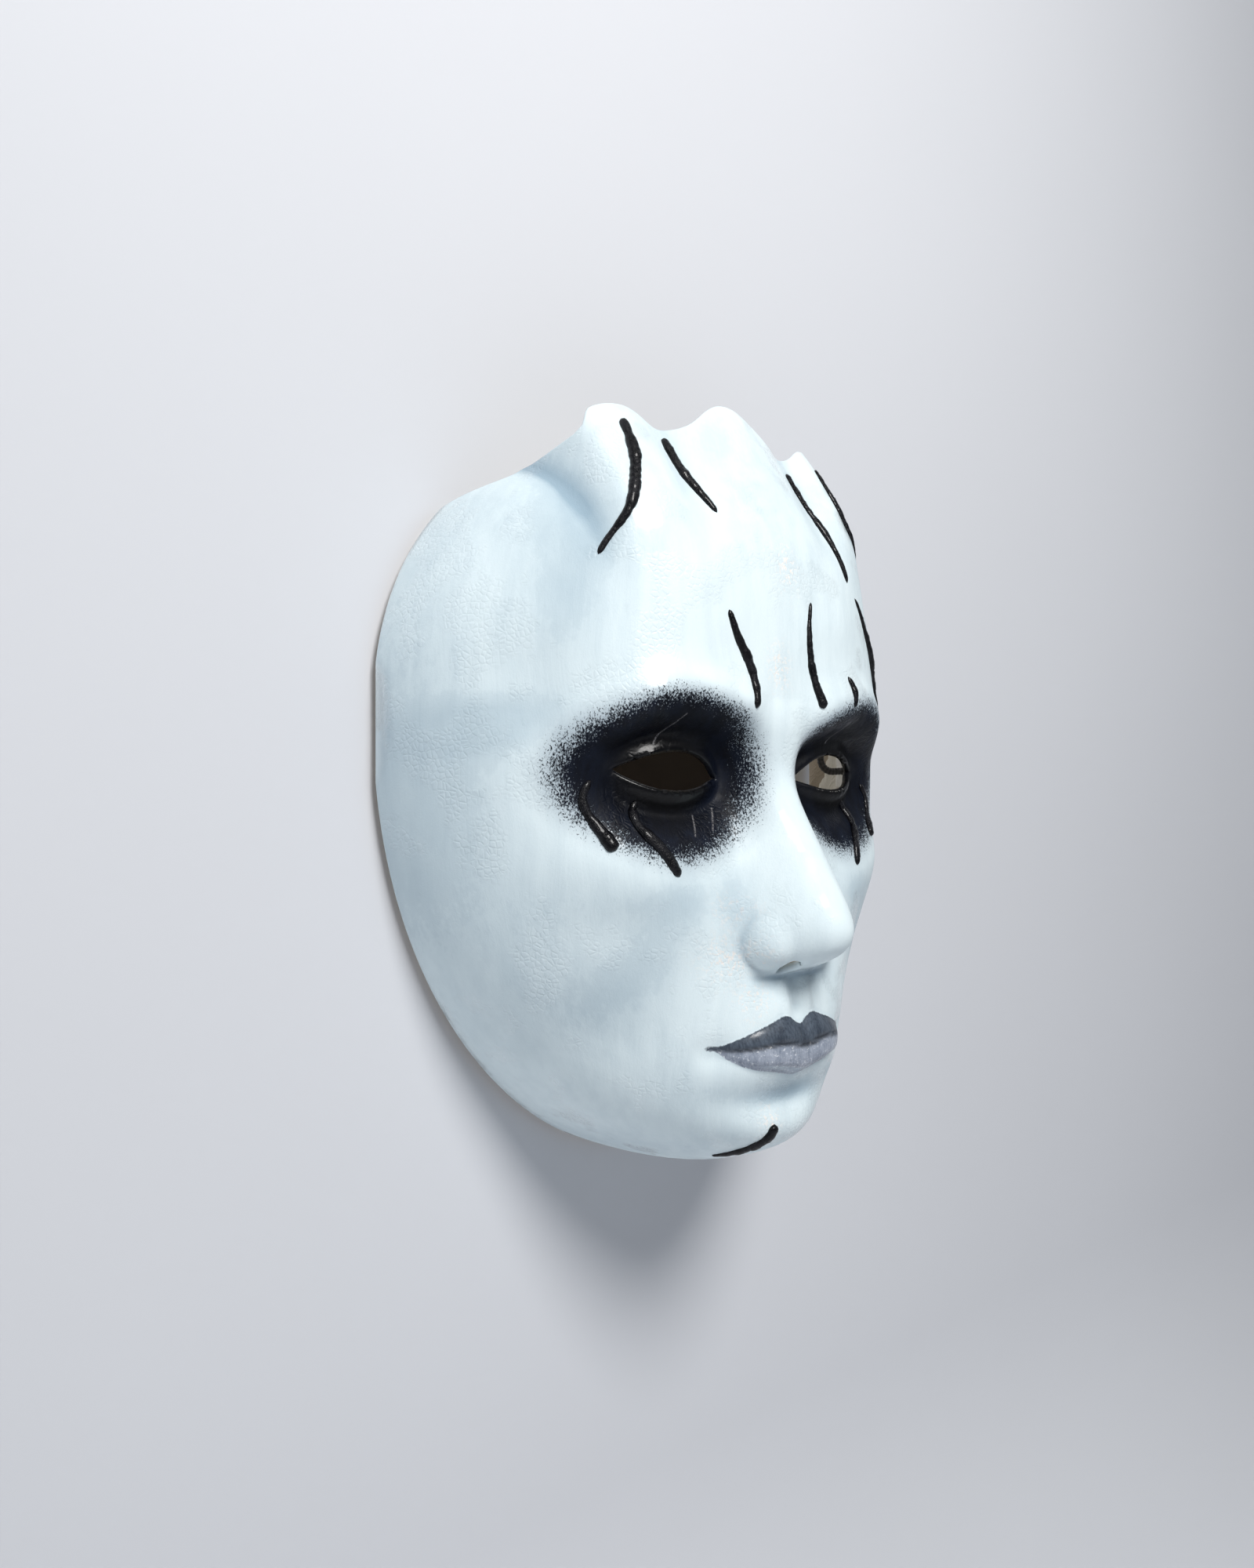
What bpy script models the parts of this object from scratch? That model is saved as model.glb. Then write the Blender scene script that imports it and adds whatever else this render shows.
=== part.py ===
# Papier-mache full-face mask with a scalloped crown and raised paint strokes.
# Frame: +Z up, the face looks along -Y, the wearer's right is -X.
# The origin is the middle of the flat rim that lies on the wearer's face.
# Face shapes are worked out in millimetres: a is the distance from the middle line,
# z the height and the result how far forward of the rim the skin stands.

import math

import bmesh
import bpy
import numpy as np
from mathutils import Vector
from mathutils.bvhtree import BVHTree

mm = 0.001

# driving dimensions, mm
halfWidth = 90.0          # widest half of the rim
widestZ = 18.0            # height of the widest place
chinDrop = 130.5          # from the widest place down to the chin's edge
rimRise = 88.0            # from the widest place up to where the rim would close
foreheadRise = 112.0      # the same for the raised forehead plate
wallThickness = 2.2
liningThickness = 0.6
fitGap = 0.35             # between pieces that are glued together
rimLeaves = 69.0          # this far out the edge leaves the rim plane for the crown
sideFlat = 0.8            # the outermost column of the skin stands this far in
rimOverrun = 4.0          # the wall runs this far past the rim plane, then is cut flat
eyeX, eyeZ, eyeHalf = 32.0, 2.5, 17.0
nostrilX, nostrilZ, nostrilDepth = 6.8, -47.0, 73.0
nostrilHalf = (2.4, 4.4, 7.5)   # half width, length and height of the cut
nostrilLean = 18.0              # degrees, the two cuts point together at the tip
columns, rows = 32, 40    # grid of the skin
liningInset = 1           # grid rings left out along the edge of the lining
liningEyeGrowth = 2.6     # the lining stays this far back from the eye openings
liningNostrilGrowth = 1.4
patchCentre = (24.0, 9.0)  # forward of the rim, and height
patchSize = (17.0, 23.0)
patchThickness = 0.7
loopCord = 1.2            # radius of the tie loop's cord
loopHalf, loopLength = 4.6, 6.0
strokeSpacing = 2.4       # between the rings of a raised stroke
strokeStep = 0.6          # span over which the skin's slope under a stroke is taken
eyeSegments = 28          # corners of an eye opening's outline
cutFront, cutBack = 90.0, 25.0  # the eye cutters run between these depths

# Raised paint: name, thickest radius, and points (x, z) from its top to its bottom
strokes = [
    ("crown_stroke_right", 1.65, [(-39, 98), (-40, 88), (-44.5, 74), (-53, 59)]),
    ("crown_stroke_left", 1.5, [(39, 97), (40, 88), (44, 78), (49, 66)]),
    ("valley_stroke_right", 1.75, [(-25, 95), (-24, 86), (-19, 73)]),
    ("valley_stroke_left", 1.5, [(24, 93), (25, 82), (29, 70), (32, 59)]),
    ("frown_stroke_right", 1.6, [(-21.5, 46), (-18, 38), (-14, 30), (-14.5, 20)]),
    ("frown_stroke_left", 1.5, [(11.5, 51), (10, 41), (11, 31), (13.5, 21)]),
    ("temple_stroke_left", 1.6, [(36, 55), (45, 44), (52, 33), (55, 22)]),
    ("brow_tick_left", 1.1, [(27, 31), (28.5, 27), (28, 22)]),
    ("outer_drip_right", 1.6, [(-55, 1), (-57.5, -4), (-55.5, -10), (-52, -17)]),
    ("inner_drip_right", 1.6, [(-42, -4.5), (-44, -10), (-40.5, -16), (-36, -24)]),
    ("outer_drip_left", 1.5, [(54, 0), (56.5, -5), (54, -11), (51.5, -16)]),
    ("inner_drip_left", 1.5, [(40, -5), (42, -11), (38.5, -17), (36, -24)]),
    ("chin_stroke", 1.6, [(-6, -92), (-7, -96), (-10, -100), (-13, -103)]),
]


def ease(low, high, value):
    t = np.clip((value - low) / (high - low), 0, 1)
    return t * t * (3 - 2 * t)


def hill(distance, width):
    return np.exp(-(distance / width) ** 2)


def softMax(first, second, blend):
    h = np.clip(0.5 + 0.5 * (first - second) / blend, 0, 1)
    return second * (1 - h) + first * h + blend * h * (1 - h)


def smoothLine(points):
    # natural cubic through (height, value) points
    px, py = np.array(sorted(points), float).T
    count = len(px)
    step = np.diff(px)
    system = np.eye(count)
    right = np.zeros(count)
    for i in range(1, count - 1):
        system[i, i - 1:i + 2] = step[i - 1], 2 * (step[i - 1] + step[i]), step[i]
        right[i] = 6 * ((py[i + 1] - py[i]) / step[i] - (py[i] - py[i - 1]) / step[i - 1])
    bend = np.linalg.solve(system, right)

    def at(value):
        value = np.clip(value, px[0], px[-1])
        i = np.clip(np.searchsorted(px, value) - 1, 0, count - 2)
        u = (px[i + 1] - value) / step[i]
        v = 1 - u
        curve = (u ** 3 - u) * bend[i] + (v ** 3 - v) * bend[i + 1]
        return u * py[i] + v * py[i + 1] + curve * step[i] ** 2 / 6
    return at


# how far the middle of the head stands forward, and the same for the nose's ridge
skullDepth = smoothLine([(125, 32), (108, 42), (90, 52), (70, 61.5), (48, 65), (30, 66.5), (5, 65),
                         (-20, 64), (-50, 65), (-75, 65.5), (-95, 66), (-125, 64)])
noseRidge = smoothLine([(34, 61), (22, 67.5), (14, 67.5), (6, 66), (0, 66.8), (-8, 71), (-18, 77.4),
                        (-28, 83.4), (-34, 86.6), (-38.5, 87.6), (-42, 86.2), (-45.5, 82), (-48.5, 75),
                        (-51, 68), (-54, 61)])
noseHalf = smoothLine([(34, 10), (20, 8.6), (8, 6.8), (-4, 7.0), (-16, 8.6), (-28, 10.6), (-38, 11.6),
                       (-44, 10.6), (-50, 9)])


def rimWidth(z, rise):
    below = np.clip((widestZ - z) / chinDrop, 0, 1)
    above = np.clip((z - widestZ) / rise, 0, 1)
    return halfWidth * (1 - below ** 2.1) ** 0.60 * (1 - above ** 2.25) ** 0.52


def rimBottom(a):
    return widestZ - chinDrop * (1 - np.clip(a / halfWidth, 0, 1) ** (1 / 0.60)) ** (1 / 2.1)


def rimTop(a):
    return widestZ + rimRise * (1 - np.clip(a / halfWidth, 0, 1) ** (1 / 0.52)) ** (1 / 2.25)


def crownEdge(a):
    # the free top edge: three lobes, then the temple's edge, which runs into the rim
    lobes = 97.0 + 11.5 * np.exp(-(a / 14.0) ** 2.2) + 6.0 * np.exp(-np.abs((a - 39.0) / 9.0) ** 2.6)
    temple = rimTop(a) - 3.0 * ease(rimLeaves, 54, a)
    return lobes + (temple - lobes) * ease(44.0, 52.5, a)


def section(a, z, rise):
    under = np.clip((-84 - z) / 28.5, 0, 1)
    depth = skullDepth(z) * np.clip(1 - under ** 2.4, 0, 1) ** 0.5
    share = np.clip(a / np.maximum(rimWidth(z, rise), 0.001), 0, 1)
    return depth * (1 - share ** 2.45) ** 0.58


def eyeEdges(a):
    # upper and lower edge of the eye opening
    t = np.clip((a - eyeX) / eyeHalf, -1, 1)
    bow = 1 - t * t
    upper = 7.2 * np.clip(1 - np.abs(t + 0.14 * bow) ** 2.1, 0, 1) ** 0.85
    lower = 5.4 * np.clip(1 - np.abs(t - 0.12 * bow) ** 2.1, 0, 1) ** 0.9
    corner = eyeZ + 1.3 * t
    return corner + upper, corner - lower


def mouthLine(a):
    return -70.0 + 0.8 * hill(a - 9, 6) - 0.5 * hill(a, 4) - 0.4 * ease(14, 25, a)


def lipHeights(a):
    bow = 6.3 + 1.2 * hill(a - 5.2, 3.2) - 0.9 * hill(a, 2.6)
    upper = bow * np.clip(1 - (a / 25.5) ** 2.0, 0, 1) ** 0.9
    lower = 8.6 * np.clip(1 - (a / 24.0) ** 2.3, 0, 1) ** 0.8
    return np.maximum(upper, 0.05), np.maximum(lower, 0.05)


def headShape(a, z):
    # skull, forehead plate with its lobes, temples, brows and cheeks
    temple = section(a, z, rimRise)
    plate = section(a, z, foreheadRise)
    onPlate = 1 - ease(47.0, 53.0, a + 0.05 * (80 - z))
    f = temple + (plate - temple) * onPlate
    near = np.clip(f / 22, 0, 1)
    crown = ease(52, 96, z)
    f += crown * (3.6 * hill(a - 40.0, 8.5) - 3.2 * hill(a - 24.0, 6.5) + 1.8 * hill(a, 10))
    f -= near * 2.2 * hill(a - 53.0, 4.0) * ease(56, 76, z)
    f += near * 2.2 * hill(a - 27, 17) * hill(z - 50, 18)
    f -= near * 3.2 * hill(a - 68, 11) * hill(z - 24, 14)
    browZ = 18.5 + 3.5 * ease(8, 36, a) - 8 * ease(38, 62, a)
    f += near * 4.8 * hill(z - browZ, 8.0) * ease(3, 18, a) * (1 - ease(50, 68, a))
    f += hill(a, 11) * hill(z - 18, 9)
    f += near * 4.4 * hill(a - 50, 17) * hill(z + 24 - 0.12 * (a - 47), 13)
    f += near * 2.4 * hill(a - 27, 13) * hill(z + 36, 15)
    f -= near * 3.0 * hill(a - 50, 15) * hill(z + 68, 19)
    return f


def addEyes(f, a, z):
    side = a - eyeX
    f = f - 11.0 * np.exp(-np.abs(side / 22) ** 2.6) * np.exp(-np.abs((z - eyeZ) / 14.0) ** 2.4)
    f = f - 3.4 * hill(a - 15.5, 7.0) * hill(z - 4, 9)
    reach = (side / 1.25) ** 2 + ((z - eyeZ) * 1.02) ** 2
    ball = 42.5 + np.sqrt(np.clip(16.0 ** 2 - reach, 0, None)) - 0.18 * side
    f = np.where(reach < 15.9 ** 2, softMax(ball, f, 3.0), f)
    upper, lower = eyeEdges(a)
    onLid = np.exp(-np.abs(side / 19.0) ** 4)
    f = f - 1.1 * hill(z - upper - 4.4, 1.6) * onLid
    return f - 0.6 * hill(z - lower + 4.6, 2.0) * onLid


def addNose(f, a, z):
    beside = np.exp(-np.abs(a / (noseHalf(z) * 1.22)) ** 2.3)
    along = ease(34, 14, z) * ease(-54.0, -49.5, z)
    f = f + np.clip(noseRidge(z) - f, 0, None) * beside * along
    wing = 1 - ((a - 11.2) / 7.6) ** 2 - ((z + 41.0) / 8.8) ** 2
    return np.where(wing > 0, softMax(63.0 + 13.5 * np.sqrt(np.clip(wing, 0, None)), f, 3.5), f)


def addMouth(f, a, z):
    f = f + 6.0 * np.exp(-np.abs(a / 28) ** 2.6) * np.exp(-np.abs((z + 68) / 21) ** 2.6)
    groove = ease(-50, -54, z) * ease(-64.5, -60, z)
    f = f + groove * (0.6 * hill(a - 4.4, 1.8) - 1.2 * hill(a, 2.6))
    line = mouthLine(a)
    upper, lower = lipHeights(a)
    up = np.clip((z - line) / upper, 0, 1)
    down = np.clip((line - z) / lower, 0, 1)
    upperLip = 3.2 * np.clip(upper / 6.3, 0, 1) * (1 - up) ** 0.7 * (1 - 0.45 * (1 - up) ** 6)
    lowerLip = 3.4 * np.clip(lower / 8.6, 0, 1) * np.sqrt(np.clip(1 - (1.2 * down - 0.42) ** 2, 0, 1))
    f = f + np.where(z >= line, upperLip, lowerLip * ease(1.0, 0.62, down))
    f = f - 1.3 * hill(a - 25, 4.5) * hill(z + 71, 4.0)
    f = f - 4.4 * hill(a, 20) * hill(z + 85, 5.8)
    return f + 5.0 * np.exp(-np.abs(a / 18) ** 2.4) * hill(z + 99, 11)


def skin(x, z):
    a = np.abs(x)
    return addMouth(addNose(addEyes(headShape(a, z), a, z), a, z), a, z)


def addObject(name, mesh, collection):
    thing = bpy.data.objects.new(name, mesh)
    collection.objects.link(thing)
    return thing


def material(name, colour, roughness):
    made = bpy.data.materials.new(name)
    made.use_nodes = True
    shader = made.node_tree.nodes["Principled BSDF"]
    shader.inputs["Base Color"].default_value = (*colour, 1)
    shader.inputs["Roughness"].default_value = roughness
    shader.inputs["Metallic"].default_value = 0.0
    made.diffuse_color = (*colour, 1)
    return made


def crowdEdges(place):
    # even through the middle, closer together towards -1 and 1
    return 1.12 * place - 0.12 * place ** 9


def skinGrid(inset):
    # a flat grid moved onto the face: its border is the mask's own outline
    form = bmesh.new()
    bmesh.ops.create_grid(form, x_segments=columns, y_segments=rows, size=1.0)
    form.verts.ensure_lookup_table()
    across = np.array([v.co.x for v in form.verts])
    upward = np.array([v.co.y for v in form.verts])
    x = (halfWidth - sideFlat) * crowdEdges(across)
    share = 0.5 + 0.5 * crowdEdges(upward)
    low = rimBottom(np.abs(x))
    high = crownEdge(np.abs(x))
    z = low + (high - low) * share
    f = np.maximum(skin(x, z), 0)
    border = np.maximum(np.abs(across), np.abs(upward)) > 0.999
    onRim = (z < widestZ) | (np.abs(x) > rimLeaves)
    f = np.where(border & onRim, -rimOverrun, f)
    for vertex, vx, vy, vz in zip(form.verts, x, -f, z):
        vertex.co = (vx * mm, vy * mm, vz * mm)
    limitX = 1 - (inset - 0.5) * 2 / columns
    limitY = 1 - (inset - 0.5) * 2 / rows
    spare = [v for v, s, t in zip(form.verts, across, upward) if abs(s) > limitX or abs(t) > limitY]
    if inset:
        bmesh.ops.delete(form, geom=spare, context="VERTS")
    bmesh.ops.triangulate(form, faces=form.faces)
    return form


def finishMesh(form, name):
    mesh = bpy.data.meshes.new(name)
    bmesh.ops.recalc_face_normals(form, faces=form.faces)
    form.to_mesh(mesh)
    form.free()
    return mesh


def facing(form):
    # the open skin's normals look away from the wearer
    form.normal_update()
    if sum(face.normal.y for face in form.faces) > 0:
        bmesh.ops.reverse_faces(form, faces=form.faces)
        form.normal_update()


def thicken(thing, thickness):
    wall = thing.modifiers.new("wall", "SOLIDIFY")
    wall.thickness = thickness * mm
    wall.offset = -1
    wall.use_even_offset = False


def cut(thing, cutter):
    opening = thing.modifiers.new(cutter.name, "BOOLEAN")
    opening.operation = "DIFFERENCE"
    opening.solver = "EXACT"
    opening.object = cutter


def hideCutter(thing):
    thing.hide_render = True
    thing.display_type = "WIRE"
    return thing


def rimCutter(collection):
    form = bmesh.new()
    bmesh.ops.create_cube(form, size=1.0)
    for vertex in form.verts:
        vertex.co = (vertex.co.x * 0.3, (vertex.co.y + 0.5) * 0.04, vertex.co.z * 0.3)
    return hideCutter(addObject("rim_plane_cut", finishMesh(form, "rim_plane_cut"), collection))


def eyeCutter(name, side, growth, collection):
    # the opening's outline pushed through the skin from front to back
    form = bmesh.new()
    bmesh.ops.create_circle(form, cap_ends=True, segments=eyeSegments, radius=1.0)
    form.verts.ensure_lookup_table()
    for i, vertex in enumerate(form.verts):
        turn = 2 * math.pi * i / eyeSegments
        a = eyeX + eyeHalf * math.cos(turn) * 0.999
        upper, lower = eyeEdges(np.array(a))
        z = float(upper if math.sin(turn) >= 0 else lower)
        a += growth * math.cos(turn)
        z += growth * math.sin(turn)
        vertex.co = (side * a * mm, -cutFront * mm, z * mm)
    pushed = bmesh.ops.extrude_face_region(form, geom=form.faces[:])
    for vertex in (g for g in pushed["geom"] if isinstance(g, bmesh.types.BMVert)):
        vertex.co.y = -cutBack * mm
    return hideCutter(addObject(name, finishMesh(form, name), collection))


def nostrilCutter(name, side, growth, collection):
    form = bmesh.new()
    bmesh.ops.create_uvsphere(form, u_segments=12, v_segments=8, radius=1.0)
    lean = math.radians(nostrilLean) * side
    halfX, halfY, halfZ = nostrilHalf
    for vertex in form.verts:
        x = vertex.co.x * (halfX + growth)
        y = vertex.co.y * (halfY + growth)
        vertex.co = (
            (side * nostrilX + x * math.cos(lean) - y * math.sin(lean)) * mm,
            (-nostrilDepth + x * math.sin(lean) + y * math.cos(lean)) * mm,
            (nostrilZ + vertex.co.z * halfZ) * mm,
        )
    return hideCutter(addObject(name, finishMesh(form, name), collection))


def buildShell(collection, cutters):
    form = skinGrid(0)
    facing(form)
    mesh = bpy.data.meshes.new("mask_shell")
    form.to_mesh(mesh)
    form.free()
    mesh.shade_smooth()
    shell = addObject("mask_shell", mesh, collection)
    thicken(shell, wallThickness)
    for cutter in cutters:
        cut(shell, cutter)
    return shell


def buildLining(collection, cutters):
    form = skinGrid(liningInset)
    facing(form)
    # the lining uses the shell's own normals, so the two stay parallel
    whole = skinGrid(0)
    facing(whole)
    normals = {tuple(round(c, 6) for c in v.co): v.normal.copy() for v in whole.verts}
    whole.free()
    for vertex in form.verts:
        normal = normals[tuple(round(c, 6) for c in vertex.co)]
        vertex.co -= normal * (wallThickness + fitGap) * mm
    mesh = bpy.data.meshes.new("inner_lining")
    form.to_mesh(mesh)
    form.free()
    mesh.shade_smooth()
    lining = addObject("inner_lining", mesh, collection)
    thicken(lining, liningThickness)
    for cutter in cutters:
        cut(lining, cutter)
    return lining


def treeOf(thing):
    depsgraph = bpy.context.evaluated_depsgraph_get()
    return BVHTree.FromObject(thing, depsgraph)


def alongPoints(points, spacing):
    # evenly spaced places on a smooth line through the points
    knots = np.arange(len(points))
    lineX = smoothLine([(k, p[0]) for k, p in zip(knots, points)])
    lineZ = smoothLine([(k, p[1]) for k, p in zip(knots, points)])
    fine = np.linspace(0, len(points) - 1, 200)
    x, z = lineX(fine), lineZ(fine)
    run = np.concatenate([[0], np.cumsum(np.hypot(np.diff(x), np.diff(z)))])
    places = np.linspace(0, run[-1], max(5, int(run[-1] / spacing) + 1))
    return np.interp(places, run, x), np.interp(places, run, z), places / run[-1]


def skinNormal(x, z):
    slopeX = (skin(x + strokeStep, z) - skin(x - strokeStep, z)) / (2 * strokeStep)
    slopeZ = (skin(x, z + strokeStep) - skin(x, z - strokeStep)) / (2 * strokeStep)
    return Vector((-slopeX, -1.0, -slopeZ)).normalized()


def buildStroke(name, radius, points, tree, collection):
    curve = bpy.data.curves.new(name, "CURVE")
    curve.dimensions = "3D"
    curve.bevel_depth = radius * mm
    curve.bevel_resolution = 1
    curve.use_fill_caps = True
    spots = []
    for x, z, share in zip(*alongPoints(points, strokeSpacing)):
        taper = 0.38 + 0.62 * math.sin(math.pi * min(share * 1.15 + 0.08, 1.0)) ** 0.6
        clear = (radius * taper + fitGap + 0.1) * mm
        hit = tree.ray_cast(Vector((x * mm, -0.3, z * mm)), Vector((0, 1, 0)))[0]
        out = skinNormal(np.array(x), np.array(z))
        place = hit + out * clear
        for _ in range(4):
            short = clear - (tree.find_nearest(place)[0] - place).length
            place += out * max(short, 0)
        spots.append((place, taper))
    line = curve.splines.new("POLY")
    line.points.add(len(spots) - 1)
    for point, (place, taper) in zip(line.points, spots):
        point.co = (*place, 1)
        point.radius = taper
    return addObject(name, curve, collection)


def buildPatch(name, side, tree, collection):
    form = bmesh.new()
    bmesh.ops.create_grid(form, x_segments=6, y_segments=8, size=0.5)
    for vertex in form.verts:
        # the corners are rounded in
        u, v = vertex.co.x * 2, vertex.co.y * 2
        pull = 1 - 0.12 * (u * u * v * v)
        forward = patchCentre[0] + u * pull * patchSize[0] / 2
        height = patchCentre[1] + v * pull * patchSize[1] / 2
        start = Vector((side * 0.02, -forward * mm, height * mm))
        hit = tree.ray_cast(start, Vector((side, 0, 0)))[0]
        vertex.co = hit - Vector((side * (fitGap + 0.25) * mm, 0, 0))
    bmesh.ops.triangulate(form, faces=form.faces)
    form.normal_update()
    if sum(face.normal.x for face in form.faces) * side < 0:
        bmesh.ops.reverse_faces(form, faces=form.faces)
    mesh = bpy.data.meshes.new(name)
    form.to_mesh(mesh)
    form.free()
    mesh.shade_smooth()
    patch = addObject(name, mesh, collection)
    thicken(patch, patchThickness)
    return patch


def buildLoop(name, side, tree, collection):
    # a cord bent to a U, its feet on the patch and its bow towards the wearer
    curve = bpy.data.curves.new(name, "CURVE")
    curve.dimensions = "3D"
    curve.bevel_depth = loopCord * mm
    curve.bevel_resolution = 2
    curve.use_fill_caps = True
    start = Vector((side * 0.02, -patchCentre[0] * mm, patchCentre[1] * mm))
    foot = tree.ray_cast(start, Vector((side, 0, 0)))[0]
    out = Vector((-side, 0.35, 0)).normalized()
    # the feet are square ended and lean, so they start a little way off the patch
    base = foot + out * 0.95 * mm
    spots = [base + Vector((0, 0, loopHalf * mm))]
    for i in range(13):
        turn = math.pi * i / 12
        reach = loopLength + loopHalf * math.sin(turn)
        spots.append(base + out * reach * mm + Vector((0, 0, loopHalf * math.cos(turn) * mm)))
    spots.append(base - Vector((0, 0, loopHalf * mm)))
    line = curve.splines.new("POLY")
    line.points.add(len(spots) - 1)
    for point, place in zip(line.points, spots):
        point.co = (*place, 1)
    return addObject(name, curve, collection)


def main():
    for thing in list(bpy.data.objects):
        bpy.data.objects.remove(thing, do_unlink=True)
    scene = bpy.context.scene
    pieces = bpy.data.collections.new("venetian_mask")
    tools = bpy.data.collections.new("cutters")
    scene.collection.children.link(pieces)
    scene.collection.children.link(tools)

    white = material("white_paint", (0.86, 0.89, 0.92), 0.38)
    cream = material("lining_paper", (0.76, 0.71, 0.62), 0.85)
    black = material("relief_paint", (0.012, 0.012, 0.016), 0.16)
    patchPaper = material("patch_paper", (0.82, 0.80, 0.75), 0.8)
    cord = material("loop_cord", (0.02, 0.02, 0.022), 0.55)

    shellCutters = [rimCutter(tools)]
    liningCutters = []
    for side, word in ((-1, "right"), (1, "left")):
        shellCutters.append(eyeCutter("eye_cut_" + word, side, 0.0, tools))
        shellCutters.append(nostrilCutter("nostril_cut_" + word, side, 0.0, tools))
        liningCutters.append(eyeCutter("lining_eye_cut_" + word, side, liningEyeGrowth, tools))
        liningCutters.append(nostrilCutter("lining_nostril_cut_" + word, side, liningNostrilGrowth, tools))

    shell = buildShell(pieces, shellCutters)
    shell.data.materials.append(white)
    lining = buildLining(pieces, liningCutters)
    lining.data.materials.append(cream)

    shellTree = treeOf(shell)
    for name, radius, points in strokes:
        stroke = buildStroke(name, radius, points, shellTree, pieces)
        stroke.data.materials.append(black)

    liningTree = treeOf(lining)
    for side, word in ((-1, "right"), (1, "left")):
        patch = buildPatch("tie_patch_" + word, side, liningTree, pieces)
        patch.data.materials.append(patchPaper)
        loop = buildLoop("tie_loop_" + word, side, treeOf(patch), pieces)
        loop.data.materials.append(cord)


main()
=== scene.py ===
import math

import bmesh
import bpy
import numpy as np
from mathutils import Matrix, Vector
from mathutils.bvhtree import BVHTree


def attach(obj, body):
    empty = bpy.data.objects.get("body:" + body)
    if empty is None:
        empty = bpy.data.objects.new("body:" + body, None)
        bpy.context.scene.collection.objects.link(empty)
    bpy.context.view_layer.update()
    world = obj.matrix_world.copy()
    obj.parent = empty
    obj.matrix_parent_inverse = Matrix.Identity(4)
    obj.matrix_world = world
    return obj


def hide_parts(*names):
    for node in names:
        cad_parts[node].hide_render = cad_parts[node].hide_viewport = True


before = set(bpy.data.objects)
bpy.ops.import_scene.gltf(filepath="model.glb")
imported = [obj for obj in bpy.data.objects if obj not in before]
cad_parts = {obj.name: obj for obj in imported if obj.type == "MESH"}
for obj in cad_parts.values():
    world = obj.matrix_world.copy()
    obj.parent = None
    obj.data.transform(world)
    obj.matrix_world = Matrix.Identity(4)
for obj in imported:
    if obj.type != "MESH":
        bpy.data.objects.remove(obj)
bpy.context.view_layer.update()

# White papier-mache face mask with black relief paint, paper lined, with tie loops.
# Metres, +Z up, the face looks along -Y and the flat rim lies in y = 0.
# Shapes are worked out in millimetres: a is the distance from the middle line.

mm = 0.001
print("mask: frame loaded,", len(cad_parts), "nodes")

cameraView = {
    "azimuth": -41.0,     # degrees, from straight in front towards the wearer's right
    "elevation": 0.0,
    "distance": 0.392,
    "lens": 28.6,
    "aim": (0.0, 0.0, 0.0),
}
head = {
    "halfWidth": 90.0,    # widest half of the rim
    "widestZ": 18.0,
    "chinDrop": 130.5,
    "rimRise": 88.0,
    "foreheadRise": 112.0,
    "rimLeaves": 69.0,    # this far out the edge leaves the rim plane for the crown
    "sideFlat": 0.8,
    "eye": (32.0, 2.5, 17.0),  # place across, height, half width
}
halfWidth, widestZ, chinDrop = head["halfWidth"], head["widestZ"], head["chinDrop"]
rimRise, foreheadRise = head["rimRise"], head["foreheadRise"]
rimLeaves, sideFlat = head["rimLeaves"], head["sideFlat"]
eyeX, eyeZ, eyeHalf = head["eye"]

# raised paint: name, thickest radius, and points (x, z) from its top to its bottom
strokes = [
    ("crown_stroke_right", 1.65, [(-39, 98), (-40, 88), (-44.5, 74), (-53, 59)]),
    ("crown_stroke_left", 1.5, [(39, 97), (40, 88), (44, 78), (49, 66)]),
    ("valley_stroke_right", 1.75, [(-25, 95), (-24, 86), (-19, 73)]),
    ("valley_stroke_left", 1.5, [(24, 93), (25, 82), (29, 70), (32, 59)]),
    ("frown_stroke_right", 1.6, [(-21.5, 46), (-18, 38), (-14, 30), (-14.5, 20)]),
    ("frown_stroke_left", 1.5, [(11.5, 51), (10, 41), (11, 31), (13.5, 21)]),
    ("temple_stroke_left", 1.6, [(36, 55), (45, 44), (52, 33), (55, 22)]),
    ("brow_tick_left", 1.1, [(27, 31), (28.5, 27), (28, 22)]),
    ("outer_drip_right", 1.6, [(-55, 1), (-57.5, -4), (-55.5, -10), (-52, -17)]),
    ("inner_drip_right", 1.6, [(-42, -4.5), (-44, -10), (-40.5, -16), (-36, -24)]),
    ("outer_drip_left", 1.5, [(54, 0), (56.5, -5), (54, -11), (51.5, -16)]),
    ("inner_drip_left", 1.5, [(40, -5), (42, -11), (38.5, -17), (36, -24)]),
    ("chin_stroke", 1.6, [(-6, -92), (-7, -96), (-10, -100), (-13, -103)]),
]


def ease(low, high, value):
    t = np.clip((value - low) / (high - low), 0, 1)
    return t * t * (3 - 2 * t)


def hill(distance, width):
    return np.exp(-(distance / width) ** 2)


def softMax(first, second, blend):
    h = np.clip(0.5 + 0.5 * (first - second) / blend, 0, 1)
    return second * (1 - h) + first * h + blend * h * (1 - h)


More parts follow.
